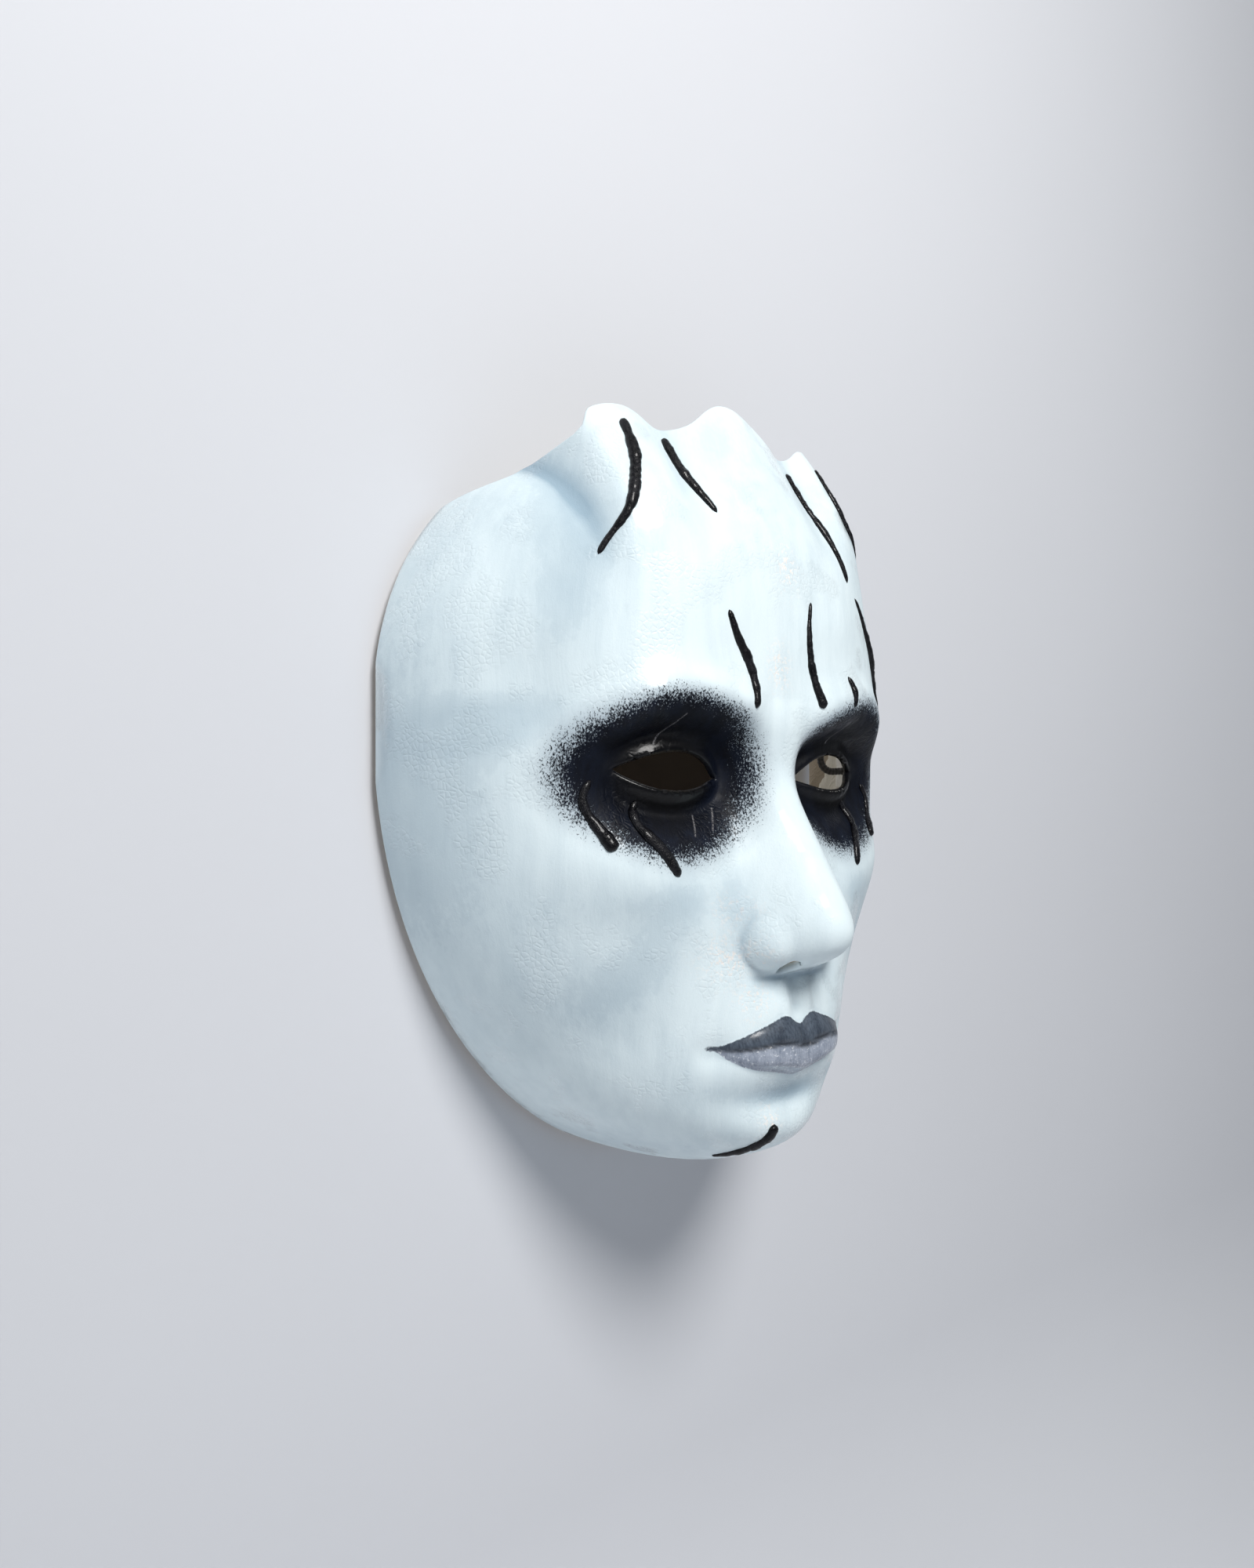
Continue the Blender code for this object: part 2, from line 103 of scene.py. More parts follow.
def smoothLine(points):
    # natural cubic through (height, value) points
    px, py = np.array(sorted(points), float).T
    count = len(px)
    step = np.diff(px)
    system = np.eye(count)
    right = np.zeros(count)
    for i in range(1, count - 1):
        system[i, i - 1:i + 2] = step[i - 1], 2 * (step[i - 1] + step[i]), step[i]
        right[i] = 6 * ((py[i + 1] - py[i]) / step[i] - (py[i] - py[i - 1]) / step[i - 1])
    bend = np.linalg.solve(system, right)

    def at(value):
        value = np.clip(value, px[0], px[-1])
        i = np.clip(np.searchsorted(px, value) - 1, 0, count - 2)
        u = (px[i + 1] - value) / step[i]
        v = 1 - u
        curve = (u ** 3 - u) * bend[i] + (v ** 3 - v) * bend[i + 1]
        return u * py[i] + v * py[i + 1] + curve * step[i] ** 2 / 6
    return at


# how far the middle of the head stands forward, and the same for the nose's ridge
skullDepth = smoothLine([(125, 32), (108, 42), (90, 52), (70, 61.5), (48, 65), (30, 66.5), (5, 65),
                         (-20, 64), (-50, 65), (-75, 65.5), (-95, 66), (-125, 64)])
noseRidge = smoothLine([(34, 61), (22, 67.5), (14, 67.5), (6, 66), (0, 66.8), (-8, 71), (-18, 77.4),
                        (-28, 83.4), (-34, 86.6), (-38.5, 87.6), (-42, 86.2), (-45.5, 82), (-48.5, 75),
                        (-51, 68), (-54, 61)])
noseHalf = smoothLine([(34, 10), (20, 8.6), (8, 6.8), (-4, 7.0), (-16, 8.6), (-28, 10.6), (-38, 11.6),
                       (-44, 10.6), (-50, 9)])


def rimWidth(z, rise):
    below = np.clip((widestZ - z) / chinDrop, 0, 1)
    above = np.clip((z - widestZ) / rise, 0, 1)
    return halfWidth * (1 - below ** 2.1) ** 0.60 * (1 - above ** 2.25) ** 0.52


def rimBottom(a):
    return widestZ - chinDrop * (1 - np.clip(a / halfWidth, 0, 1) ** (1 / 0.60)) ** (1 / 2.1)


def rimTop(a):
    return widestZ + rimRise * (1 - np.clip(a / halfWidth, 0, 1) ** (1 / 0.52)) ** (1 / 2.25)


def crownEdge(a):
    # the free top edge: three lobes, then the temple's edge, which runs into the rim
    lobes = 97.0 + 11.5 * np.exp(-(a / 14.0) ** 2.2) + 6.0 * np.exp(-np.abs((a - 39.0) / 9.0) ** 2.6)
    temple = rimTop(a) - 3.0 * ease(rimLeaves, 54, a)
    return lobes + (temple - lobes) * ease(44.0, 52.5, a)


def section(a, z, rise):
    under = np.clip((-84 - z) / 28.5, 0, 1)
    depth = skullDepth(z) * np.clip(1 - under ** 2.4, 0, 1) ** 0.5
    share = np.clip(a / np.maximum(rimWidth(z, rise), 0.001), 0, 1)
    return depth * (1 - share ** 2.45) ** 0.58


def eyeEdges(a):
    # upper and lower edge of the eye opening
    t = np.clip((a - eyeX) / eyeHalf, -1, 1)
    bow = 1 - t * t
    upper = 7.2 * np.clip(1 - np.abs(t + 0.14 * bow) ** 2.1, 0, 1) ** 0.85
    lower = 5.4 * np.clip(1 - np.abs(t - 0.12 * bow) ** 2.1, 0, 1) ** 0.9
    corner = eyeZ + 1.3 * t
    return corner + upper, corner - lower


def mouthLine(a):
    return -70.0 + 0.8 * hill(a - 9, 6) - 0.5 * hill(a, 4) - 0.4 * ease(14, 25, a)


def lipHeights(a):
    bow = 6.3 + 1.2 * hill(a - 5.2, 3.2) - 0.9 * hill(a, 2.6)
    upper = bow * np.clip(1 - (a / 25.5) ** 2.0, 0, 1) ** 0.9
    lower = 8.6 * np.clip(1 - (a / 24.0) ** 2.3, 0, 1) ** 0.8
    return np.maximum(upper, 0.05), np.maximum(lower, 0.05)


def headShape(a, z):
    # skull, forehead plate with its lobes, temples, brows and cheeks
    temple = section(a, z, rimRise)
    plate = section(a, z, foreheadRise)
    onPlate = 1 - ease(47.0, 53.0, a + 0.05 * (80 - z))
    f = temple + (plate - temple) * onPlate
    near = np.clip(f / 22, 0, 1)
    crown = ease(52, 96, z)
    f += crown * (3.6 * hill(a - 40.0, 8.5) - 3.2 * hill(a - 24.0, 6.5) + 1.8 * hill(a, 10))
    f -= near * 2.2 * hill(a - 53.0, 4.0) * ease(56, 76, z)
    f += near * 2.2 * hill(a - 27, 17) * hill(z - 50, 18)
    f -= near * 3.2 * hill(a - 68, 11) * hill(z - 24, 14)
    browZ = 18.5 + 3.5 * ease(8, 36, a) - 8 * ease(38, 62, a)
    f += near * 4.8 * hill(z - browZ, 8.0) * ease(3, 18, a) * (1 - ease(50, 68, a))
    f += hill(a, 11) * hill(z - 18, 9)
    f += near * 4.4 * hill(a - 50, 17) * hill(z + 24 - 0.12 * (a - 47), 13)
    f += near * 2.4 * hill(a - 27, 13) * hill(z + 36, 15)
    f -= near * 3.0 * hill(a - 50, 15) * hill(z + 68, 19)
    return f


def addEyes(f, a, z):
    side = a - eyeX
    f = f - 11.0 * np.exp(-np.abs(side / 22) ** 2.6) * np.exp(-np.abs((z - eyeZ) / 14.0) ** 2.4)
    f = f - 3.4 * hill(a - 15.5, 7.0) * hill(z - 4, 9)
    reach = (side / 1.25) ** 2 + ((z - eyeZ) * 1.02) ** 2
    ball = 42.5 + np.sqrt(np.clip(16.0 ** 2 - reach, 0, None)) - 0.18 * side
    f = np.where(reach < 15.9 ** 2, softMax(ball, f, 3.0), f)
    upper, lower = eyeEdges(a)
    onLid = np.exp(-np.abs(side / 19.0) ** 4)
    f = f - 1.1 * hill(z - upper - 4.4, 1.6) * onLid
    return f - 0.6 * hill(z - lower + 4.6, 2.0) * onLid


def addNose(f, a, z):
    beside = np.exp(-np.abs(a / (noseHalf(z) * 1.22)) ** 2.3)
    along = ease(34, 14, z) * ease(-54.0, -49.5, z)
    f = f + np.clip(noseRidge(z) - f, 0, None) * beside * along
    wing = 1 - ((a - 11.2) / 7.6) ** 2 - ((z + 41.0) / 8.8) ** 2
    return np.where(wing > 0, softMax(63.0 + 13.5 * np.sqrt(np.clip(wing, 0, None)), f, 3.5), f)


def addMouth(f, a, z):
    f = f + 6.0 * np.exp(-np.abs(a / 28) ** 2.6) * np.exp(-np.abs((z + 68) / 21) ** 2.6)
    groove = ease(-50, -54, z) * ease(-64.5, -60, z)
    f = f + groove * (0.6 * hill(a - 4.4, 1.8) - 1.2 * hill(a, 2.6))
    line = mouthLine(a)
    upper, lower = lipHeights(a)
    up = np.clip((z - line) / upper, 0, 1)
    down = np.clip((line - z) / lower, 0, 1)
    upperLip = 3.2 * np.clip(upper / 6.3, 0, 1) * (1 - up) ** 0.7 * (1 - 0.45 * (1 - up) ** 6)
    lowerLip = 3.4 * np.clip(lower / 8.6, 0, 1) * np.sqrt(np.clip(1 - (1.2 * down - 0.42) ** 2, 0, 1))
    f = f + np.where(z >= line, upperLip, lowerLip * ease(1.0, 0.62, down))
    f = f - 1.3 * hill(a - 25, 4.5) * hill(z + 71, 4.0)
    f = f - 4.4 * hill(a, 20) * hill(z + 85, 5.8)
    return f + 5.0 * np.exp(-np.abs(a / 18) ** 2.4) * hill(z + 99, 11)


def handWork(f, x, a, z):
    # the crisp outer edge of the forehead plate, and hand-laid waviness
    near = np.clip(f / 14, 0, 1)
    out = a + 0.05 * (80 - z)
    f = f + near * ease(62, 80, z) * (1.1 * hill(out - 46.0, 2.4) - 1.0 * hill(out - 50.5, 2.6))
    wave = np.sin(0.11 * x + 0.07 * z + 1.0) * np.sin(0.09 * z - 0.05 * x) * 0.20
    wave = wave + np.sin(0.29 * x - 0.17 * z + 2.0) * np.sin(0.23 * z + 0.13 * x) * 0.07
    return f + near * wave


def skin(x, z):
    a = np.abs(x)
    f = addMouth(addNose(addEyes(headShape(a, z), a, z), a, z), a, z)
    return handWork(f, x, a, z)


# camera, backdrop and light

backdrop = {
    "behind": 0.0032,     # the wall stands this far behind the rim
    "drop": 0.34,         # the floor lies this far below the middle of the mask
    "reach": 2.4,
    "cove": 0.12,
    "colour": (0.66, 0.675, 0.71),
    "pad": ((0.064, 0.068, -0.014), (0.022, 0.015, 0.012)),  # painted shade on the wall, a dark patch behind the mask where its inside shows: halves, height, colour
}
studioLights = [
    # name, azimuth, elevation, distance, size, watts, colour
    ("keyLight", -12, 40, 0.95, 0.36, 8.6, (1.0, 0.985, 0.965)),
    ("fillLight", -95, 12, 1.1, 0.8, 1.0, (0.85, 0.95, 1.0)),
    ("backLight", 176, 14, 1.1, 0.6, 3.2, (1.0, 0.97, 0.93)),
]
worldLight = {"colour": (0.82, 0.88, 0.96), "strength": 0.23}


def around(azimuth, elevation, distance):
    a, e = math.radians(azimuth), math.radians(elevation)
    return Vector((math.sin(a) * math.cos(e), -math.cos(a) * math.cos(e), math.sin(e))) * distance


def lookAt(thing, target):
    thing.rotation_euler = (Vector(target) - thing.location).to_track_quat("-Z", "Y").to_euler()


def addToScene(name, data):
    thing = bpy.data.objects.new(name, data)
    bpy.context.scene.collection.objects.link(thing)
    return thing


def makeCamera():
    data = bpy.data.cameras.new("camera")
    data.lens = cameraView["lens"]
    data.sensor_width = 36.0
    data.clip_start = 0.01
    thing = addToScene("camera", data)
    away = around(cameraView["azimuth"], cameraView["elevation"], cameraView["distance"])
    thing.location = Vector(cameraView["aim"]) + away
    lookAt(thing, cameraView["aim"])
    bpy.context.scene.camera = thing
    bpy.context.scene.view_settings.view_transform = "Standard"


def makeLights():
    for name, azimuth, elevation, distance, size, watts, colour in studioLights:
        data = bpy.data.lights.new(name, "AREA")
        data.shape = "DISK"
        data.size = size
        data.energy = watts
        data.color = colour
        thing = addToScene(name, data)
        thing.location = around(azimuth, elevation, distance)
        lookAt(thing, (0, -0.03, 0))
    world = bpy.data.worlds.new("paleRoom")
    bpy.context.scene.world = world
    world.use_nodes = True
    background = world.node_tree.nodes["Background"]
    background.inputs["Color"].default_value = (*worldLight["colour"], 1)
    background.inputs["Strength"].default_value = worldLight["strength"]


# node helpers

def put(tree, kind, inputs=None, **settings):
    made = tree.nodes.new("ShaderNode" + kind)
    for name, value in settings.items():
        setattr(made, name, value)
    for name, value in (inputs or {}).items():
        if isinstance(value, bpy.types.NodeSocket):
            tree.links.new(value, made.inputs[name])
        else:
            made.inputs[name].default_value = value
    return made


def calc(tree, operation, first, second=0.0, clamp=False):
    return put(tree, "Math", {0: first, 1: second}, operation=operation, use_clamp=clamp).outputs[0]


def stretch(tree, value, low, high, toLow=0.0, toHigh=1.0, smooth=False):
    inputs = {"Value": value, "From Min": low, "From Max": high, "To Min": toLow, "To Max": toHigh}
    kind = "SMOOTHSTEP" if smooth else "LINEAR"
    return put(tree, "MapRange", inputs, interpolation_type=kind).outputs["Result"]


def blendColour(tree, factor, first, second, kind="MIX"):
    made = put(tree, "Mix", {0: factor}, data_type="RGBA", blend_type=kind)
    for slot, colour in ((6, first), (7, second)):
        if isinstance(colour, bpy.types.NodeSocket):
            tree.links.new(colour, made.inputs[slot])
        else:
            made.inputs[slot].default_value = (*colour, 1)
    return made.outputs[2]


def scaled(tree, vector, scale):
    return put(tree, "Mapping", {"Vector": vector, "Scale": scale}).outputs["Vector"]


def noise(tree, vector, scale, detail=3.0, roughness=0.5, distortion=0.0):
    inputs = {"Vector": vector, "Scale": scale, "Detail": detail, "Roughness": roughness,
              "Distortion": distortion}
    return put(tree, "TexNoise", inputs).outputs["Fac"]


def mark(tree, name):
    return put(tree, "Attribute", attribute_name=name).outputs["Fac"]


def newGroup(name, inputs, outputs):
    tree = bpy.data.node_groups.new(name, "ShaderNodeTree")
    for label, kind, value in inputs:
        socket = tree.interface.new_socket(label, in_out="INPUT", socket_type="NodeSocket" + kind)
        if value is not None:
            socket.default_value = value
    for label, kind in outputs:
        tree.interface.new_socket(label, in_out="OUTPUT", socket_type="NodeSocket" + kind)
    start = tree.nodes.new("NodeGroupInput")
    end = tree.nodes.new("NodeGroupOutput")
    return tree, start.outputs, end.inputs


def useGroup(tree, group, inputs):
    made = tree.nodes.new("ShaderNodeGroup")
    made.node_tree = group
    for name, value in inputs.items():
        if isinstance(value, bpy.types.NodeSocket):
            tree.links.new(value, made.inputs[name])
        else:
            made.inputs[name].default_value = value
    return made.outputs


def newMaterial(name):
    made = bpy.data.materials.new(name)
    made.use_nodes = True
    tree = made.node_tree
    shader = tree.nodes["Principled BSDF"]
    place = put(tree, "TexCoord").outputs["Object"]
    return made, tree, shader, place


def feed(tree, shader, **inputs):
    names = {"colour": "Base Color", "roughness": "Roughness", "coat": "Coat Weight",
             "coatRoughness": "Coat Roughness", "normal": "Normal", "sheen": "Sheen Weight",
             "specular": "Specular IOR Level"}
    for key, value in inputs.items():
        socket = shader.inputs[names[key]]
        if isinstance(value, bpy.types.NodeSocket):
            tree.links.new(value, socket)
        else:
            socket.default_value = (*value, 1) if isinstance(value, tuple) else value


def bump(tree, height, distance):
    inputs = {"Height": height, "Distance": distance, "Strength": 1.0}
    return put(tree, "Bump", inputs).outputs["Normal"]


# groups that several finishes share

def makeBrushMarks():
    # long bristle lines that wander a little, with broad strokes under them
    tree, given, result = newGroup(
        "brushMarks",
        [("Vector", "Vector", None), ("Bristle", "Float", 1100.0), ("Run", "Float", 0.08)],
        [("Height", "Float"), ("Tone", "Float")])
    wander = put(tree, "TexNoise", {"Vector": given["Vector"], "Scale": 22.0, "Detail": 2.0})
    shift = put(tree, "VectorMath", {0: wander.outputs["Color"], 1: (0.5, 0.5, 0.5)}, operation="SUBTRACT")
    shift = put(tree, "VectorMath", {0: shift.outputs[0], "Scale": 0.012}, operation="SCALE")
    bent = put(tree, "VectorMath", {0: given["Vector"], 1: shift.outputs[0]}, operation="ADD").outputs[0]
    run = put(tree, "CombineXYZ", {"X": 1.0, "Y": 1.0, "Z": given["Run"]}).outputs[0]
    along = put(tree, "VectorMath", {0: bent, 1: run}, operation="MULTIPLY").outputs[0]
    fine = noise(tree, along, given["Bristle"], 3.0, 0.65)
    broad = noise(tree, along, calc(tree, "MULTIPLY", given["Bristle"], 0.16), 3.0, 0.55)
    both = calc(tree, "ADD", calc(tree, "MULTIPLY", fine, 0.55), calc(tree, "MULTIPLY", broad, 0.45))
    tree.links.new(both, result["Height"])
    tree.links.new(broad, result["Tone"])
    return tree


def makeDryBrush():
    # a soft edge broken into bristle specks: Reach falls from 1 inside to 0 outside
    tree, given, result = newGroup(
        "dryBrush",
        [("Vector", "Vector", None), ("Reach", "Float", 0.0), ("Grain", "Float", 900.0),
         ("Break", "Float", 0.5)],
        [("Mask", "Float")])
    drag = scaled(tree, given["Vector"], (1.0, 1.0, 0.7))
    specks = noise(tree, drag, given["Grain"], 2.0, 0.7)
    clumps = noise(tree, given["Vector"], calc(tree, "MULTIPLY", given["Grain"], 0.13), 3.0, 0.6)
    rough = calc(tree, "ADD", calc(tree, "MULTIPLY", specks, 0.80), calc(tree, "MULTIPLY", clumps, 0.20))
    push = calc(tree, "MULTIPLY", calc(tree, "SUBTRACT", rough, 0.5), given["Break"])
    total = calc(tree, "ADD", given["Reach"], push)
    tree.links.new(stretch(tree, total, 0.42, 0.58, smooth=True), result["Mask"])
    return tree


def makePaperFibre():
    # felted fibres, soft creases and the edges of torn strips
    tree, given, result = newGroup(
        "paperFibre",
        [("Vector", "Vector", None), ("Fibre", "Float", 1500.0), ("Strips", "Float", 70.0)],
        [("Height", "Float"), ("Tone", "Float"), ("Torn", "Float")])
    fibre = noise(tree, given["Vector"], given["Fibre"], 4.0, 0.7, 1.2)
    crease = noise(tree, given["Vector"], calc(tree, "MULTIPLY", given["Strips"], 1.6), 4.0, 0.6, 1.5)
    ridge = calc(tree, "ABSOLUTE", calc(tree, "SUBTRACT", crease, 0.5))
    ridge = stretch(tree, ridge, 0.0, 0.035, 1.0, 0.0, smooth=True)
    wobble = put(tree, "TexNoise", {"Vector": given["Vector"], "Scale": 160.0, "Detail": 3.0})
    shift = put(tree, "VectorMath", {0: wobble.outputs["Color"], "Scale": 0.014}, operation="SCALE")
    torn = put(tree, "VectorMath", {0: given["Vector"], 1: shift.outputs[0]}, operation="ADD").outputs[0]
    cells = put(tree, "TexVoronoi", {"Vector": scaled(tree, torn, (1.0, 1.0, 0.40)),
                                     "Scale": given["Strips"]}, feature="DISTANCE_TO_EDGE")
    edge = stretch(tree, cells.outputs["Distance"], 0.0, 0.045, 1.0, 0.0, smooth=True)
    level = put(tree, "TexVoronoi", {"Vector": scaled(tree, torn, (1.0, 1.0, 0.40)),
                                     "Scale": given["Strips"]})
    layer = put(tree, "SeparateColor", {"Color": level.outputs["Color"]}).outputs[0]
    height = calc(tree, "ADD", calc(tree, "MULTIPLY", fibre, 0.25), calc(tree, "MULTIPLY", ridge, 0.22))
    height = calc(tree, "ADD", height, calc(tree, "MULTIPLY", layer, 0.5))
    tree.links.new(height, result["Height"])
    tree.links.new(calc(tree, "ADD", calc(tree, "MULTIPLY", layer, 0.5),
                        calc(tree, "MULTIPLY", fibre, 0.5)), result["Tone"])
    tree.links.new(edge, result["Torn"])
    return tree


brushMarks, dryBrush, paperFibre = makeBrushMarks(), makeDryBrush(), makePaperFibre()

# finishes

paintLook = {
    "white": (0.78, 0.885, 0.915),
    "shade": (0.32, 0.43, 0.51),
    "paintedGlint": (0.93, 0.88, 0.83),
    "smoke": (0.0022, 0.0034, 0.008),
    "smokeStreak": (0.0045, 0.0075, 0.017),
    "scratch": (0.16, 0.155, 0.16),
    "soot": (0.0012, 0.0012, 0.0018),
    "haze": (0.15, 0.19, 0.26),
    "upperLip": (0.040, 0.052, 0.072),
    "upperLipStreak": (0.10, 0.125, 0.16),
    "lowerLip": (0.20, 0.235, 0.30),
    "lowerLipStreak": (0.38, 0.42, 0.50),
    "lipGlint": (0.74, 0.77, 0.82),
    "mouthLine": (0.03, 0.035, 0.045),
    "cutEdge": (0.42, 0.35, 0.27),
    "roughness": 0.44,
}

# dry scratches through the dark paint, from (x, z) to (x, z) in millimetres
eyeScratches = [
    ((-38.2, 10.5), (-34.6, 18.2)),
    ((-28.0, -13.8), (-25.6, -8.4)),
    ((-21.8, -12.4), (-18.8, -6.6)),
    ((27.5, 12.0), (30.5, 18.0)),
]


def scratch(tree, place, start, end, width):
    # how near a place is to a thin line, seen from the front
    start, end = (Vector((point[0] * mm, 0, point[1] * mm)) for point in (start, end))
    run = end - start
    flat = put(tree, "VectorMath", {0: place, 1: (1, 0, 1)}, operation="MULTIPLY").outputs[0]
    off = put(tree, "VectorMath", {0: flat, 1: start}, operation="SUBTRACT").outputs[0]
    share = run / run.length_squared
    along = put(tree, "VectorMath", {0: off, 1: share}, operation="DOT_PRODUCT").outputs["Value"]
    along = put(tree, "Clamp", {0: along}).outputs[0]
    nearest = put(tree, "VectorMath", {0: run, "Scale": along}, operation="SCALE").outputs[0]
    gap = put(tree, "VectorMath", {0: off, 1: nearest}, operation="DISTANCE").outputs["Value"]
    broken = stretch(tree, noise(tree, place, 2400.0, 2.0, 0.7), 0.38, 0.56)
    return calc(tree, "MULTIPLY", stretch(tree, gap, width * 0.4, width * 1.5, 1.0, 0.0, smooth=True), broken)


def makeWhitePaint():
    look = paintLook
    made, tree, shader, place = newMaterial("whitePaint")
    marks = useGroup(tree, brushMarks, {"Vector": place, "Bristle": 1100.0, "Run": 0.07})
    cloud = noise(tree, place, 34.0, 4.0, 0.6)
    # greyed washes scrubbed on with a half-dry brush, mixed with painted shade in the hollows, under the
    # nose, lower lip and chin, and towards the rim
    brushedWashAndShade = useGroup(tree, dryBrush, {"Vector": place, "Reach": mark(tree, "washAndShade"), "Grain": 420.0,
                                     "Break": 0.75})
    soft = calc(tree, "MULTIPLY", mark(tree, "washAndShade"), stretch(tree, cloud, 0.3, 0.7, 0.55, 1.0))
    cavityShade = stretch(tree, mark(tree, "cavityShade"), 0.1, 1.0, 0.0, 0.55)
    shade = calc(tree, "ADD", calc(tree, "MULTIPLY", soft, 0.62), calc(tree, "MULTIPLY", brushedWashAndShade["Mask"], 0.10))
    shade = calc(tree, "ADD", shade, cavityShade, clamp=True)
    dulled = stretch(tree, marks["Tone"], 0.38, 0.66, 0.0, 0.11)
    base = blendColour(tree, dulled, look["white"], look["shade"])
    # scrubbed washes that drift over the whole face
    drift = stretch(tree, noise(tree, scaled(tree, place, (1.0, 1.0, 0.8)), 23.0, 5.0, 0.62, 0.8), 0.44, 0.64)
    worn = calc(tree, "MULTIPLY", drift, stretch(tree, marks["Height"], 0.36, 0.62, 0.35, 1.0))
    base = blendColour(tree, calc(tree, "MULTIPLY", worn, 0.20), base, look["shade"])
    # painted highlight: warm pale specks standing in for glints off the crackled varnish
    paintedGlints = stretch(tree, noise(tree, place, 760.0, 4.0, 0.75), 0.53, 0.58)
    paintedGlints = calc(tree, "MULTIPLY", paintedGlints, mark(tree, "glint"))
    base = blendColour(tree, paintedGlints, base, look["paintedGlint"])
    base = blendColour(tree, shade, base, look["shade"])
    # lips
    lips = useGroup(tree, dryBrush, {"Vector": place, "Reach": mark(tree, "lips"), "Grain": 1500.0,
                                     "Break": 0.34})
    streaks = useGroup(tree, brushMarks, {"Vector": place, "Bristle": 1700.0, "Run": 0.25})
    upper = blendColour(tree, stretch(tree, streaks["Height"], 0.4, 0.66), look["upperLip"],
                        look["upperLipStreak"])
    lower = blendColour(tree, stretch(tree, streaks["Height"], 0.36, 0.6), look["lowerLip"],
                        look["lowerLipStreak"])
    # painted highlight: pale specks on the lower lip stand in for glints off its gloss
    specks = stretch(tree, noise(tree, place, 1100.0, 3.0, 0.8), 0.58, 0.67)
    lower = blendColour(tree, specks, lower, look["lipGlint"])
    mouth = blendColour(tree, mark(tree, "lowerLip"), upper, lower)
    mouth = blendColour(tree, mark(tree, "mouthLine"), mouth, look["mouthLine"])
    base = blendColour(tree, lips["Mask"], base, mouth)
    # smoke round the eyes
    reach = mark(tree, "eyeSmoke")
    smoke = useGroup(tree, dryBrush, {"Vector": place, "Reach": reach, "Grain": 2300.0, "Break": 1.05})
    veil = stretch(tree, reach, 0.18, 0.62, 0.0, 0.60, smooth=True)
    base = blendColour(tree, veil, base, look["haze"])
    tone = blendColour(tree, stretch(tree, streaks["Tone"], 0.4, 0.65), look["smoke"],
                       look["smokeStreak"])
    tone = blendColour(tree, stretch(tree, reach, 0.75, 1.15), tone, look["soot"])
    base = blendColour(tree, smoke["Mask"], base, tone)
    for start, end in eyeScratches:
        base = blendColour(tree, scratch(tree, place, start, end, 0.00022), base, look["scratch"])
    # worn and gritty at the cut edge
    base = blendColour(tree, mark(tree, "cutEdge"), base, look["cutEdge"])
    # varnish laid in patches, with a fine crackle
    pool = stretch(tree, noise(tree, place, 58.0, 3.0, 0.55), 0.50, 0.60, smooth=True)
    crackle = put(tree, "TexVoronoi", {"Vector": place, "Scale": 620.0}, feature="DISTANCE_TO_EDGE")
    crackle = stretch(tree, crackle.outputs["Distance"], 0.0, 0.22)
    grit = noise(tree, place, 1600.0, 3.0, 0.7)
    wet = stretch(tree, mark(tree, "lid"), 0.35, 0.9, 0.0, 0.28, smooth=True)
    dull = calc(tree, "SUBTRACT", 1.0, calc(tree, "MULTIPLY", smoke["Mask"], 0.92))
    pool = calc(tree, "MAXIMUM", pool, mark(tree, "glint"))
    gloss = calc(tree, "MAXIMUM", calc(tree, "MULTIPLY", calc(tree, "MULTIPLY", pool, 0.75), dull), wet)
    gloss = calc(tree, "MAXIMUM", gloss, calc(tree, "MULTIPLY", lips["Mask"], 0.45))
    rough = stretch(tree, marks["Height"], 0.3, 0.7, look["roughness"] - 0.10, look["roughness"] + 0.12)
    rough = calc(tree, "SUBTRACT", rough, calc(tree, "MULTIPLY", pool, 0.16))
    rough = calc(tree, "ADD", rough, calc(tree, "MULTIPLY", smoke["Mask"], 0.14))
    rough = calc(tree, "SUBTRACT", rough, calc(tree, "MULTIPLY", wet, 0.30), clamp=True)
    height = calc(tree, "MULTIPLY", marks["Height"], 0.55)
    height = calc(tree, "ADD", height, calc(tree, "MULTIPLY", calc(tree, "MULTIPLY", crackle, pool), 0.30))
    height = calc(tree, "ADD", height, calc(tree, "MULTIPLY", grit, 0.20))
    height = calc(tree, "ADD", height, calc(tree, "MULTIPLY", smoke["Mask"], 0.45))
    feed(tree, shader, colour=base, roughness=rough, specular=0.14, coat=gloss, coatRoughness=0.16,
         normal=bump(tree, height, 0.00022))
    return made


plainLook = {
    "pulp": ((0.40, 0.33, 0.25), (0.62, 0.55, 0.45)),
    "lining": ((0.66, 0.62, 0.53), (0.85, 0.82, 0.74)),
    "liningStain": (0.45, 0.36, 0.26),
    "liningTorn": (0.48, 0.42, 0.33),
    "patch": ((0.74, 0.72, 0.67), (0.86, 0.85, 0.82)),
    "patchEdge": (0.60, 0.56, 0.48),
    "relief": ((0.002, 0.002, 0.003), (0.009, 0.009, 0.012)),
    "cord": ((0.010, 0.010, 0.011), (0.045, 0.045, 0.050)),
    "thread": ((0.012, 0.012, 0.014), (0.05, 0.05, 0.055)),
}


def makePulp():
    made, tree, shader, place = newMaterial("rawPulp")
    fibre = useGroup(tree, paperFibre, {"Vector": place, "Fibre": 1300.0, "Strips": 45.0})
    colour = blendColour(tree, stretch(tree, fibre["Tone"], 0.3, 0.7), *plainLook["pulp"])
    feed(tree, shader, colour=colour, roughness=stretch(tree, fibre["Tone"], 0.2, 0.8, 0.78, 0.95),
         normal=bump(tree, fibre["Height"], 0.0004))
    return made


